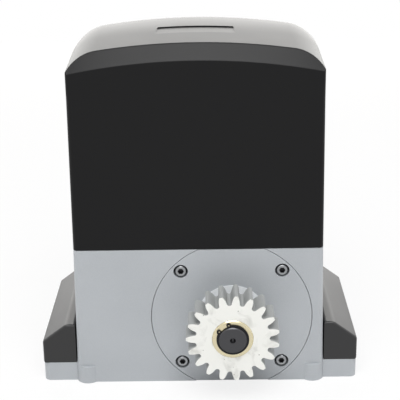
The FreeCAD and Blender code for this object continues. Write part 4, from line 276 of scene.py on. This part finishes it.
# Nylon: dull black with glass fibre in the lever, ivory in the cast gear, pale in the spacers
# and the capacitor's can, green in the terminals.
lever_nylon = moulded_plastic("black_glass_filled_nylon", "171717", 0.5, 1.1, 0.35)
white_nylon = cast_nylon()
pale_nylon = moulded_plastic("natural_nylon", "DCDCD6")
green_nylon = moulded_plastic("green_terminal_nylon", "2C7F47", 0.45)

# Turned brass: pale gold with a sharp light on its ring.
brass = turned_metal("turned_brass", "D8CEAE", 0.28)

# Steel: darkened on the shaft's faced end, bright where ground, soft white where zinc plated,
# near black where oxidised, plain on the socket screws.
faced_steel = turned_metal("faced_shaft_steel", "4E4E50", 0.36)
ground_steel = plain_metal("ground_steel", "9A9B9E", 0.26)
zinc_plate = plain_metal("zinc_plated_steel", "B9BCBB", 0.34)
black_oxide = plain_metal("black_oxide_steel", "2E2E30", 0.38)
screw_steel = plain_metal("socket_screw_steel", "96989A", 0.34)

# Sand blasted cast aluminium: dull grey. Gear bronze: warm and worn bright.
cast_alloy = plain_metal("cast_aluminium", "A9ABAE", 0.48, 1.2, 0.4)
bronze = plain_metal("gear_bronze", "B98A4E", 0.32)

# Blued lamination steel and enamelled copper wire: banded, the steel slate grey and the copper
# a dark red brown.
laminations = layered("lamination_steel", "6C6E72", "3A3B3E", 6.28, 0.9, 0.4)
copper = layered("enamelled_copper", "8E4423", "3E1A0C", 5.65, 0.2, 0.28)

# The seal cap behind the gear is plated metal; its bright reflection is painted into a pale
# coat, a painted highlight: the brightest ring on the front.
cap_painted_reflection = moulded_plastic("seal_cap_painted_reflection", "E6E9EC", 0.35)

# Nitrile rubber: dead black. Solder mask: glossy dark green. Relay case: glossy blue. PBT:
# satin black.
rubber = moulded_plastic("nitrile_rubber", "151515", 0.72, 1.2, 0.2)
solder_mask = moulded_plastic("solder_mask", "12492B", 0.3, 2.0, 0.1)
relay_blue = moulded_plastic("blue_relay_case", "1F4690", 0.25)
black_pbt = moulded_plastic("black_pbt", "161616", 0.5)

# ---------------------------------------------------------------- finishes of the solids

finish_of = {
    "gearbox_base": painted_casting,
    "output_flange": painted_casting,
    "top_cover": black_abs,
    "left_foot_cover": foot_abs_painted_light,
    "right_foot_cover": foot_abs_painted_light,
    "cover_gasket": rubber,
    "cover_screws": zinc_plate,
    "levelling_screws": black_oxide,
    "flange_screws": screw_steel,
    "seal_cap": cap_painted_reflection,
    "output_seal": rubber,
    "front_shaft_bearing": ground_steel,
    "rear_shaft_bearing": ground_steel,
    "output_shaft": faced_steel,
    "pinion_key": zinc_plate,
    "pinion_hub_insert": brass,
    "drive_pinion": white_nylon,
    "retaining_ring": black_oxide,
    "spacer_sleeve": ground_steel,
    "clutch_sleeve": ground_steel,
    "clutch_cross_pin": ground_steel,
    "clutch_push_rod": ground_steel,
    "worm_wheel": bronze,
    "worm_shaft": ground_steel,
    "worm_lower_bearing": ground_steel,
    "worm_upper_bearing": ground_steel,
    "motor_top_bearing": ground_steel,
    "worm_oil_seal": rubber,
    "rotor_core": laminations,
    "rotor_end_rings": cast_alloy,
    "motor_plate": cast_alloy,
    "stator_core": laminations,
    "stator_windings": copper,
    "end_bell": cast_alloy,
    "motor_bolts": zinc_plate,
    "board_carrier": zinc_plate,
    "carrier_screws": zinc_plate,
    "control_board": solder_mask,
    "board_spacers": pale_nylon,
    "board_screws": zinc_plate,
    "terminal_blocks": green_nylon,
    "relays": relay_blue,
    "fuse_holder": black_pbt,
    "processor": black_pbt,
    "start_capacitor": pale_nylon,
    "capacitor_clip": zinc_plate,
    "transformer_core": laminations,
    "transformer_coil": copper,
    "limit_sensor": black_pbt,
    "cable_grommet": rubber,
    "release_lever": lever_nylon,
    "lever_pin": ground_steel,
    "lock_barrel": zinc_plate,
    "keyhole_cover": lever_nylon,
    "flap_rivet": zinc_plate,
    "release_plunger": ground_steel,
}

for node, material in finish_of.items():
    mesh = frame["nodes"][node].data
    mesh.materials.clear()
    mesh.materials.append(material)

body_of = {}
for body, nodes in frame["record"]["behaviour"]["bodies"].items():
    for node in nodes:
        body_of[node] = body

# ---------------------------------------------------------------- modelling helpers

CREASE_ANGLE = math.radians(30)
FLAT_ANGLE = math.radians(0.2)
DOUBLED = 0.002 * MM


def start_piece(name):
    """Names the primitive just added, puts its place in its mesh and selects nothing in it."""
    piece = bpy.context.object
    piece.name = name
    bpy.ops.object.transform_apply(location=True, rotation=True, scale=True)
    bpy.ops.object.mode_set(mode="EDIT")
    bpy.ops.mesh.select_all(action="DESELECT")
    bpy.ops.object.mode_set(mode="OBJECT")
    return piece


def shape(piece, act, **how):
    """Runs one edit-mode operator on what is selected in a piece."""
    bpy.ops.object.mode_set(mode="EDIT")
    act(**how)
    bpy.ops.object.mode_set(mode="OBJECT")


def cut_away(piece, tool):
    """Takes one closed piece out of another and clears the tool away."""
    trim = piece.modifiers.new("cut", "BOOLEAN")
    trim.operation = "DIFFERENCE"
    trim.solver = "EXACT"
    trim.object = tool
    bpy.ops.object.select_all(action="DESELECT")
    bpy.context.view_layer.objects.active = piece
    piece.select_set(True)
    bpy.ops.object.modifier_apply(modifier=trim.name)
    bpy.data.objects.remove(tool)


def stand_for(piece, node):
    """Smooths a piece between its creases, keeps its large faces flat, gives it the node's
    finish and body, and shows it for the node."""
    bpy.ops.object.select_all(action="DESELECT")
    bpy.context.view_layer.objects.active = piece
    piece.select_set(True)
    bpy.ops.object.shade_smooth_by_angle(angle=CREASE_ANGLE)
    flat = piece.modifiers.new("flat faces stay flat", "WEIGHTED_NORMAL")
    flat.weight = 100
    flat.keep_sharp = True
    bpy.ops.object.modifier_apply(modifier=flat.name)
    piece.data.materials.clear()
    piece.data.materials.append(finish_of[node])
    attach(piece, body_of[node])
    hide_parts(node)
    return piece


def copy_of(node):
    """A copy of a solid, its doubled corners merged and its flat faces whole again, with
    nothing selected in it."""
    bpy.ops.object.select_all(action="DESELECT")
    source = frame["nodes"][node]
    source.select_set(True)
    bpy.context.view_layer.objects.active = source
    bpy.ops.object.duplicate()
    copy = bpy.context.object
    copy.name = f"{node}_dressed"
    shape(copy, bpy.ops.mesh.select_all, action="SELECT")
    shape(copy, bpy.ops.mesh.remove_doubles, threshold=DOUBLED)
    shape(copy, bpy.ops.mesh.dissolve_limited, angle_limit=FLAT_ANGLE)
    shape(copy, bpy.ops.mesh.select_all, action="DESELECT")
    return copy


def dressed(node, edge_mm):
    """A copy of a solid with its edges eased by a width, shown for it."""
    copy = copy_of(node)
    if edge_mm:
        ease = copy.modifiers.new("eased edges", "BEVEL")
        ease.width = edge_mm * MM
        ease.segments = 2
        ease.limit_method = "ANGLE"
        ease.angle_limit = CREASE_ANGLE
        bpy.ops.object.modifier_apply(modifier=ease.name)
    return stand_for(copy, node)


# ---------------------------------------------------------------- top cover

COVER_WALL = 3 * MM

# Front outline: leaning sides, a small round at each shoulder's foot, the shoulders, the crown.
CROWN_RADIUS = 585 * MM
SHOULDER_RADIUS = 38 * MM
SHOULDER_FOOT_RADIUS = 3 * MM
SHOULDER_DROP = 22.8 * MM
WIDTH_AT_SHOULDER = 224.8 * MM

# Brow: the lower arch on the front face, how fast the slope climbs from it, and its rounds.
# From a little below the shoulder the round grows into the larger one of the upright edges.
BROW_DROP = 13.3 * MM
BROW_RADIUS = 565 * MM
BROW_SLOPE = 1.2
BROW_EDGE = 2 * MM
UPRIGHT_EDGE = 4 * MM
EDGE_CHANGE_DROP = 2 * MM
EDGE_CHANGE = 20 * MM
UPRIGHT_TURN = 0.6
BAND_STEPS = 5

# Roof, from front to rear: level, then falling, then rolling down into the rear wall.
FIRST_ROOF_ROW = 26 * MM
LEVEL_ROOF = 58 * MM
FALL_RADIUS = 500 * MM
REAR_EDGE_RADIUS = 22 * MM
LAST_RADIUS = 6 * MM
REAR_SLOPE = math.radians(60)
REAR_CORNER = 18 * MM

cover_low, cover_high = low_of("top_cover"), high_of("top_cover")
front, rear = cover_low.y, cover_high.y
crown, rim = cover_high.z, cover_low.z
shoulder = Vector((WIDTH_AT_SHOULDER / 2, crown - SHOULDER_DROP))
side_lean = math.atan2(cover_high.x - shoulder.x, shoulder.y - rim)


def arc(hub, radius, start, stop, steps):
    """Points round a hub from one angle up to another, each with its outward direction."""
    points = []
    for step in range(steps):
        angle = start + (stop - start) * step / steps
        way = Vector((math.cos(angle), math.sin(angle)))
        points.append((hub + way * radius, way))
    return points


def side_edge(z):
    """How far the leaning side stands from the middle at a height."""
    return shoulder.x + (shoulder.y - z) * math.tan(side_lean)


def shoulder_hub_and_turn():
    """The shoulder's hub, so that its round touches the crown from inside and passes through
    the top of the side, and the angle at which the two rounds touch."""
    hub = Vector((0, crown - CROWN_RADIUS))
    reach = CROWN_RADIUS - SHOULDER_RADIUS
    far = (shoulder - hub).length
    bend = math.acos((reach ** 2 + far ** 2 - SHOULDER_RADIUS ** 2) / (2 * reach * far))
    turn = math.atan2(shoulder.y - hub.y, shoulder.x) + bend
    return hub + Vector((math.cos(turn), math.sin(turn))) * reach, turn


def shoulder_foot_hub(shoulder_hub):
    """The hub of the small round that touches both the leaning side and the shoulder, found
    by halving the stretch of height that it lies in."""
    low_z, high_z = shoulder.y - 20 * MM, shoulder.y + 5 * MM
    while high_z - low_z > 0.0001 * MM:
        z = (low_z + high_z) / 2
        hub = Vector((side_edge(z) - SHOULDER_FOOT_RADIUS, z))
        if (hub - shoulder_hub).length > SHOULDER_RADIUS - SHOULDER_FOOT_RADIUS:
            high_z = z
        else:
            low_z = z
    return hub


def cover_outline():
    """Front outline of the cover from one rim over the roof to the other: each point with
    its outward direction, both as x and z."""
    shoulder_hub, crown_turn = shoulder_hub_and_turn()
    foot_hub = shoulder_foot_hub(shoulder_hub)
    foot_way = foot_hub - shoulder_hub
    foot_turn = math.atan2(foot_way.y, foot_way.x)
    side = Vector((math.cos(side_lean), math.sin(side_lean)))
    side_top = foot_hub.y + side.y * SHOULDER_FOOT_RADIUS
    right = []
    for share in (0, 0.03, 0.2, 0.45, 0.7, 0.85, 0.95):
        z = rim + (side_top - rim) * share
        right.append((Vector((side_edge(z), z)), side))
    right += arc(foot_hub, SHOULDER_FOOT_RADIUS, side_lean, foot_turn, 8)
    right += arc(shoulder_hub, SHOULDER_RADIUS, foot_turn, crown_turn, 18)
    right += arc(Vector((0, crown - CROWN_RADIUS)), CROWN_RADIUS, crown_turn, math.pi / 2, 24)
    middle = [(Vector((0, crown)), Vector((0, 1)))]
    left = [(Vector((-point.x, point.y)), Vector((-way.x, way.y)))
            for point, way in reversed(right)]
    return right + middle + left


def front_band(point, way):
    """The way from the front face to the outline at one point: over a round, up the brow's
    slope and over a second round, or over one round where there is no brow. Past the brow's
    last point every way starts from that one place on the front face."""
    x = min(abs(point.x), shoulder.x - BROW_EDGE)
    arch = crown - BROW_DROP - BROW_RADIUS + math.sqrt(BROW_RADIUS ** 2 - x ** 2)
    upright = min(max((shoulder.y - EDGE_CHANGE_DROP - point.y) / EDGE_CHANGE, 0), 1)
    edge = BROW_EDGE + (UPRIGHT_EDGE - BROW_EDGE) * upright
    low_hub = high_hub = Vector((edge, edge))
    start_place = point - way * edge
    turn = UPRIGHT_TURN
    climb = point.y - arch
    if climb > 0:
        inner = Vector((math.copysign(x, point.x), arch))
        depth = (point - inner).length
        run = climb / BROW_SLOPE
        reach = run * depth + edge * math.hypot(depth, run)
        low_depth = (reach - depth * edge) / run
        if low_depth > edge:
            low_hub = Vector((edge, low_depth))
            high_hub = Vector(((reach - run * edge) / depth, edge))
        turn = math.atan2(run, depth)
        below = BROW_EDGE * (math.hypot(BROW_SLOPE, 1) - BROW_SLOPE)
        start_place = inner - Vector((0, below))
    points = []
    for hub, start, stop in ((low_hub, 0, turn), (high_hub, turn, math.pi / 2)):
        for step in range(BAND_STEPS + 1):
            angle = start + (stop - start) * step / BAND_STEPS
            share = (hub.y - edge * math.sin(angle)) / low_hub.y
            place = point + (start_place - point) * share
            points.append((place.x, front + hub.x - edge * math.cos(angle), place.y))
    return points


def roof_path():
    """The way of the roof from the brow to the rear wall: each point as y and fall."""
    edge_y = rear - LAST_RADIUS - (REAR_EDGE_RADIUS - LAST_RADIUS) * math.sin(REAR_SLOPE)
    bend = front + LEVEL_ROOF
    turn = math.asin((edge_y - bend) / (FALL_RADIUS - REAR_EDGE_RADIUS))
    level = LEVEL_ROOF - FIRST_ROOF_ROW
    path = [(bend - level * share, 0.0) for share in (1, 0.67, 0.33, 0)]
    for radius, start, stop, steps in (
        (FALL_RADIUS, 0, turn, 8), (REAR_EDGE_RADIUS, turn, REAR_SLOPE, 9),
        (LAST_RADIUS, REAR_SLOPE, math.pi / 2, 7),
    ):
        y, fall = path[-1]
        for step in range(1, steps + 1):
            angle = start + (stop - start) * step / steps
            path.append((y + radius * (math.sin(angle) - math.sin(start)),
                         fall + radius * (math.cos(start) - math.cos(angle))))
    return path


def cover_skin():
    """The outside of the cover: a grid laid over its form, a row of it for each step from
    front to rear, with both ends filled."""
    outline = cover_outline()
    path = roof_path()
    band = len(front_band(*outline[0]))
    rows = band + len(path)
    bpy.ops.object.select_all(action="DESELECT")
    bpy.ops.mesh.primitive_grid_add(x_subdivisions=len(outline) - 1,
                                    y_subdivisions=rows - 1, size=2)
    skin = start_piece("top_cover_shell")
    order = sorted(skin.data.vertices, key=lambda vertex: (round(vertex.co.x, 5), vertex.co.y))
    for index, vertex in enumerate(order):
        point, way = outline[index // rows]
        row = index % rows
        if row < band:
            vertex.co = front_band(point, way)[row]
        else:
            y, fall = path[row - band]
            beyond = max(y - (rear - REAR_CORNER), 0)
            tuck = REAR_CORNER - math.sqrt(max(REAR_CORNER ** 2 - beyond ** 2, 0))
            narrow = 1 - tuck / cover_high.x
            share = min((point.y - rim) / (shoulder.y - rim), 1)
            vertex.co = (point.x * narrow, y, point.y - fall * share)
    for level in (front, rear):
        for vertex in skin.data.vertices:
            vertex.select = abs(vertex.co.y - level) < 0.001 * MM
        shape(skin, bpy.ops.mesh.edge_face_add)
        shape(skin, bpy.ops.mesh.select_all, action="DESELECT")
    shape(skin, bpy.ops.mesh.select_all, action="SELECT")
    shape(skin, bpy.ops.mesh.remove_doubles, threshold=DOUBLED / 4)
    shape(skin, bpy.ops.mesh.normals_make_consistent, inside=False)
    return skin


cover = cover_skin()
wall = cover.modifiers.new("wall", "SOLIDIFY")
wall.thickness = COVER_WALL
wall.offset = -1
bpy.ops.object.modifier_apply(modifier=wall.name)

# The roof panel is let in as a shallow wedge: level at its near side, deepest at its far side,
# where its corners are round. Its cutter is a block whose underside is bent to the roof.
RECESS_SETBACK = 49 * MM
RECESS_LENGTH = 26 * MM
RECESS_WIDTH = 69 * MM
RECESS_DEPTH = 1.2 * MM
RECESS_CORNER = 3 * MM
CUTTER_HEIGHT = 8 * MM
CUTTER_LIFT = 0.02 * MM
SLICE = 3.3 * MM

recess_front = front + RECESS_SETBACK
recess_back = recess_front + RECESS_LENGTH
bpy.ops.object.select_all(action="DESELECT")
bpy.ops.mesh.primitive_cube_add(
    size=1, location=(0, recess_front + RECESS_LENGTH / 2, crown + CUTTER_HEIGHT / 2),
    scale=(RECESS_WIDTH, RECESS_LENGTH, CUTTER_HEIGHT))
panel = start_piece("roof_panel_cutter")
for edge in panel.data.edges:
    ends = [panel.data.vertices[index].co for index in edge.vertices]
    edge.select = ends[0].y > recess_back - MM and abs(ends[0].z - ends[1].z) > MM
shape(panel, bpy.ops.mesh.bevel, offset=RECESS_CORNER, segments=6)
for step in range(-9, 10):
    shape(panel, bpy.ops.mesh.select_all, action="SELECT")
    shape(panel, bpy.ops.mesh.bisect, plane_co=(step * SLICE, 0, 0), plane_no=(1, 0, 0))
for vertex in panel.data.vertices:
    if vertex.co.z < crown + MM:
        drop = vertex.co.x ** 2 / (2 * CROWN_RADIUS)
        back = (vertex.co.y - recess_front) / RECESS_LENGTH
        fall = max(vertex.co.y - front - LEVEL_ROOF, 0) ** 2 / (2 * FALL_RADIUS)
        vertex.co.z = crown - drop - fall - RECESS_DEPTH * back + CUTTER_LIFT
cut_away(cover, panel)

# Both cover screws sit in bores through the rear wall, a little wider than their heads.
SCREW_HEAD_RADIUS = 5 * MM
SCREW_CLEARANCE = 0.3 * MM
BORE_LENGTH = 5 * MM

cover_screw_rise = middle_of("cover_screws").z
cover_screw_side = high_of("cover_screws").x - SCREW_HEAD_RADIUS
for side in (-1, 1):
    bpy.ops.object.select_all(action="DESELECT")
    bpy.ops.mesh.primitive_cylinder_add(
        vertices=32, radius=SCREW_HEAD_RADIUS + SCREW_CLEARANCE, depth=BORE_LENGTH,
        rotation=(math.pi / 2, 0, 0),
        location=(side * cover_screw_side, rear + MM, cover_screw_rise))
    cut_away(cover, start_piece("screw_bore_cutter"))
stand_for(cover, "top_cover")

# ---------------------------------------------------------------- foot covers

FOOT_COVER_ROUND = 2.2 * MM


def foot_cover(node):
    """A foot cover with the creases at its two ends rounded as the mould leaves them."""
    low, high = low_of(node), high_of(node)
    inner = min(abs(low.x), abs(high.x))
    piece = copy_of(node)
    for edge in piece.data.edges:
        ends = [piece.data.vertices[index].co for index in edge.vertices]
        at_ends = all(abs(end.y) > high.y - 0.2 * MM for end in ends)
        on_wing = all(end.z < low.z + 0.5 * MM for end in ends)
        at_wall = all(abs(end.x) < inner + 0.5 * MM for end in ends)
        edge.select = at_ends and not on_wing and not at_wall
    shape(piece, bpy.ops.mesh.bevel, offset=FOOT_COVER_ROUND, segments=5, clamp_overlap=False)
    stand_for(piece, node)


foot_cover("left_foot_cover")
foot_cover("right_foot_cover")

# ---------------------------------------------------------------- other visible solids

# The width in millimetres that each piece's edges are eased by. Three turned pieces have
# their chamfers in the solid.
for node, edge_mm in (
    ("gearbox_base", 0.3), ("drive_pinion", 0.35), ("pinion_hub_insert", 0),
    ("output_shaft", 0), ("seal_cap", 0.3), ("retaining_ring", 0.15), ("release_lever", 0.5),
    ("lock_barrel", 0.2), ("keyhole_cover", 0.3), ("spacer_sleeve", 0),
):
    dressed(node, edge_mm)

# ---------------------------------------------------------------- flange screws in their seats

# Each screw stands in a counterbore. Painted shade: the counterbore's faces round its head
# take the black rubber, and the faces inside its hex socket take the black oxide.
SEAT_RADIUS = 6.5 * MM
SOCKET_RADIUS = 3.1 * MM

screws_middle = middle_of("flange_screws")
screw_offset = high_of("flange_screws").x - SCREW_HEAD_RADIUS - screws_middle.x
screw_axes = [Vector((screws_middle.x + across * screw_offset, screws_middle.z + up * screw_offset))
              for across in (-1, 1) for up in (-1, 1)]
flange_face = low_of("output_flange").y
head_face = low_of("flange_screws").y


def from_screw(place):
    """Distance of a place from the nearest flange screw's axis."""
    return min((Vector((place.x, place.z)) - axis).length for axis in screw_axes)


def in_shaded_seat(place):
    return place.y > flange_face + 0.5 * MM and from_screw(place) < SEAT_RADIUS


def in_shaded_socket(place):
    return place.y > head_face + 0.4 * MM and from_screw(place) < SOCKET_RADIUS


def paint_shade_on_faces(piece, material, inside):
    """Gives the faces that a test picks out by place a second, black material as painted shade."""
    piece.data.materials.append(material)
    for face in piece.data.polygons:
        if inside(face.center):
            face.material_index = len(piece.data.materials) - 1


# Painted shade: black in the counterbores round the heads and inside the hex sockets.
paint_shade_on_faces(dressed("output_flange", 0.3), rubber, in_shaded_seat)
paint_shade_on_faces(dressed("flange_screws", 0.25), black_oxide, in_shaded_socket)

# ---------------------------------------------------------------- floor, light, camera


def any_seen_ray(tree):
    """1 for what the camera, a reflection or clear stuff sees, 0 for what lights the object."""
    ray = add(tree, "ShaderNodeLightPath")
    seen = add(tree, "ShaderNodeMath", {"operation": "MAXIMUM"},
               {0: ray.outputs["Is Camera Ray"], 1: ray.outputs["Is Glossy Ray"]})
    return add(tree, "ShaderNodeMath", {"operation": "MAXIMUM"},
               {0: seen.outputs[0], 1: ray.outputs["Is Transmission Ray"]}).outputs[0]


def pale_floor():
    """Matt pale sheet, four fifths of it plain white where it is seen, so that it runs into
    the white background and still keeps the object's shadow."""
    material, tree, shader, _ = start_material("pale_floor")
    shader.inputs["Base Color"].default_value = colour("F4F4F4")
    shader.inputs["Roughness"].default_value = 0.9
    shader.inputs["Specular IOR Level"].default_value = 0.0
    share = add(tree, "ShaderNodeMath", {"operation": "MULTIPLY"},
                {0: any_seen_ray(tree), 1: 0.8})
    white = add(tree, "ShaderNodeEmission", inputs={"Color": (1, 1, 1, 1), "Strength": 1.0})
    both = add(tree, "ShaderNodeMixShader", inputs={
        0: share.outputs[0], 1: shader.outputs[0], 2: white.outputs[0]})
    tree.links.new(both.outputs[0], tree.nodes["Material Output"].inputs["Surface"])
    return material


FLOOR_WIDTH = 2.5
bpy.ops.object.select_all(action="DESELECT")
bpy.ops.mesh.primitive_plane_add(size=FLOOR_WIDTH, location=(0, 0, 0))
floor = bpy.context.object
floor.name = "floor"
floor.data.materials.append(pale_floor())

# A weak even light from all round, which is seen as white.
world = bpy.data.worlds.new("studio")
bpy.context.scene.world = world
world.use_nodes = True
sky = world.node_tree.nodes["Background"]
sky.inputs["Color"].default_value = (1, 1, 1, 1)
sky.inputs["Strength"].default_value = 0.3
shown_sky = add(world.node_tree, "ShaderNodeBackground",
                inputs={"Color": (1, 1, 1, 1), "Strength": 1.0})
both_skies = add(world.node_tree, "ShaderNodeMixShader", inputs={
    0: any_seen_ray(world.node_tree), 1: sky.outputs[0], 2: shown_sky.outputs[0]})
world.node_tree.links.new(both_skies.outputs[0],
                          world.node_tree.nodes["World Output"].inputs["Surface"])


LIT_PLACE = Vector((0, 0, 0.16))


def soft_box(name, place, width, height, power, tint=(1, 1, 1)):
    """A rectangular lamp that looks at the middle of the unit, in metres and watts."""
    lamp = bpy.data.lights.new(name, "AREA")
    lamp.shape = "RECTANGLE"
    lamp.size = width
    lamp.size_y = height
    lamp.energy = power
    lamp.color = tint
    box = bpy.data.objects.new(name, lamp)
    bpy.context.scene.collection.objects.link(box)
    box.location = place
    box.rotation_euler = (LIT_PLACE - Vector(place)).to_track_quat("-Z", "Y").to_euler()
    box.visible_camera = False


# The key box shines in the brow, the back box along the roof and its shoulders, and the two
# side boxes on the slopes of the foot covers.
soft_box("key_box", (0, -0.68, 1.28), 1.0, 0.9, 16.5)
soft_box("back_box", (0, 1.6, 0.55), 2.4, 1.1, 18, (1.0, 0.985, 0.95))
soft_box("left_box", (-1.5, 0.1, 0.6), 0.9, 0.9, 5)
soft_box("right_box", (1.5, 0.1, 0.6), 0.9, 0.9, 5)

# The camera stands a little above the unit and looks down at it, nearly square to its front.
CAMERA_PLACE = Vector((0.0105, -1.1138, 0.5845))
CAMERA_LENS = 112.68
CAMERA_DOWN = math.radians(21.112)
CAMERA_TURN = math.radians(-0.448)
CAMERA_ROLL = math.radians(-0.906)

ahead = Vector((math.sin(CAMERA_TURN) * math.cos(CAMERA_DOWN),
                math.cos(CAMERA_TURN) * math.cos(CAMERA_DOWN), -math.sin(CAMERA_DOWN)))
level_right = Vector((math.cos(CAMERA_TURN), -math.sin(CAMERA_TURN), 0))
level_up = level_right.cross(ahead)
right = level_right * math.cos(CAMERA_ROLL) + level_up * math.sin(CAMERA_ROLL)
up = level_up * math.cos(CAMERA_ROLL) - level_right * math.sin(CAMERA_ROLL)
lens = bpy.data.cameras.new("camera")
lens.lens = CAMERA_LENS
lens.sensor_width = 36
camera = bpy.data.objects.new("camera", lens)
bpy.context.scene.collection.objects.link(camera)
aim = Matrix((right, up, -ahead)).transposed().to_4x4()
camera.matrix_world = Matrix.Translation(CAMERA_PLACE) @ aim
bpy.context.scene.camera = camera

bpy.context.scene.view_settings.view_transform = "Standard"
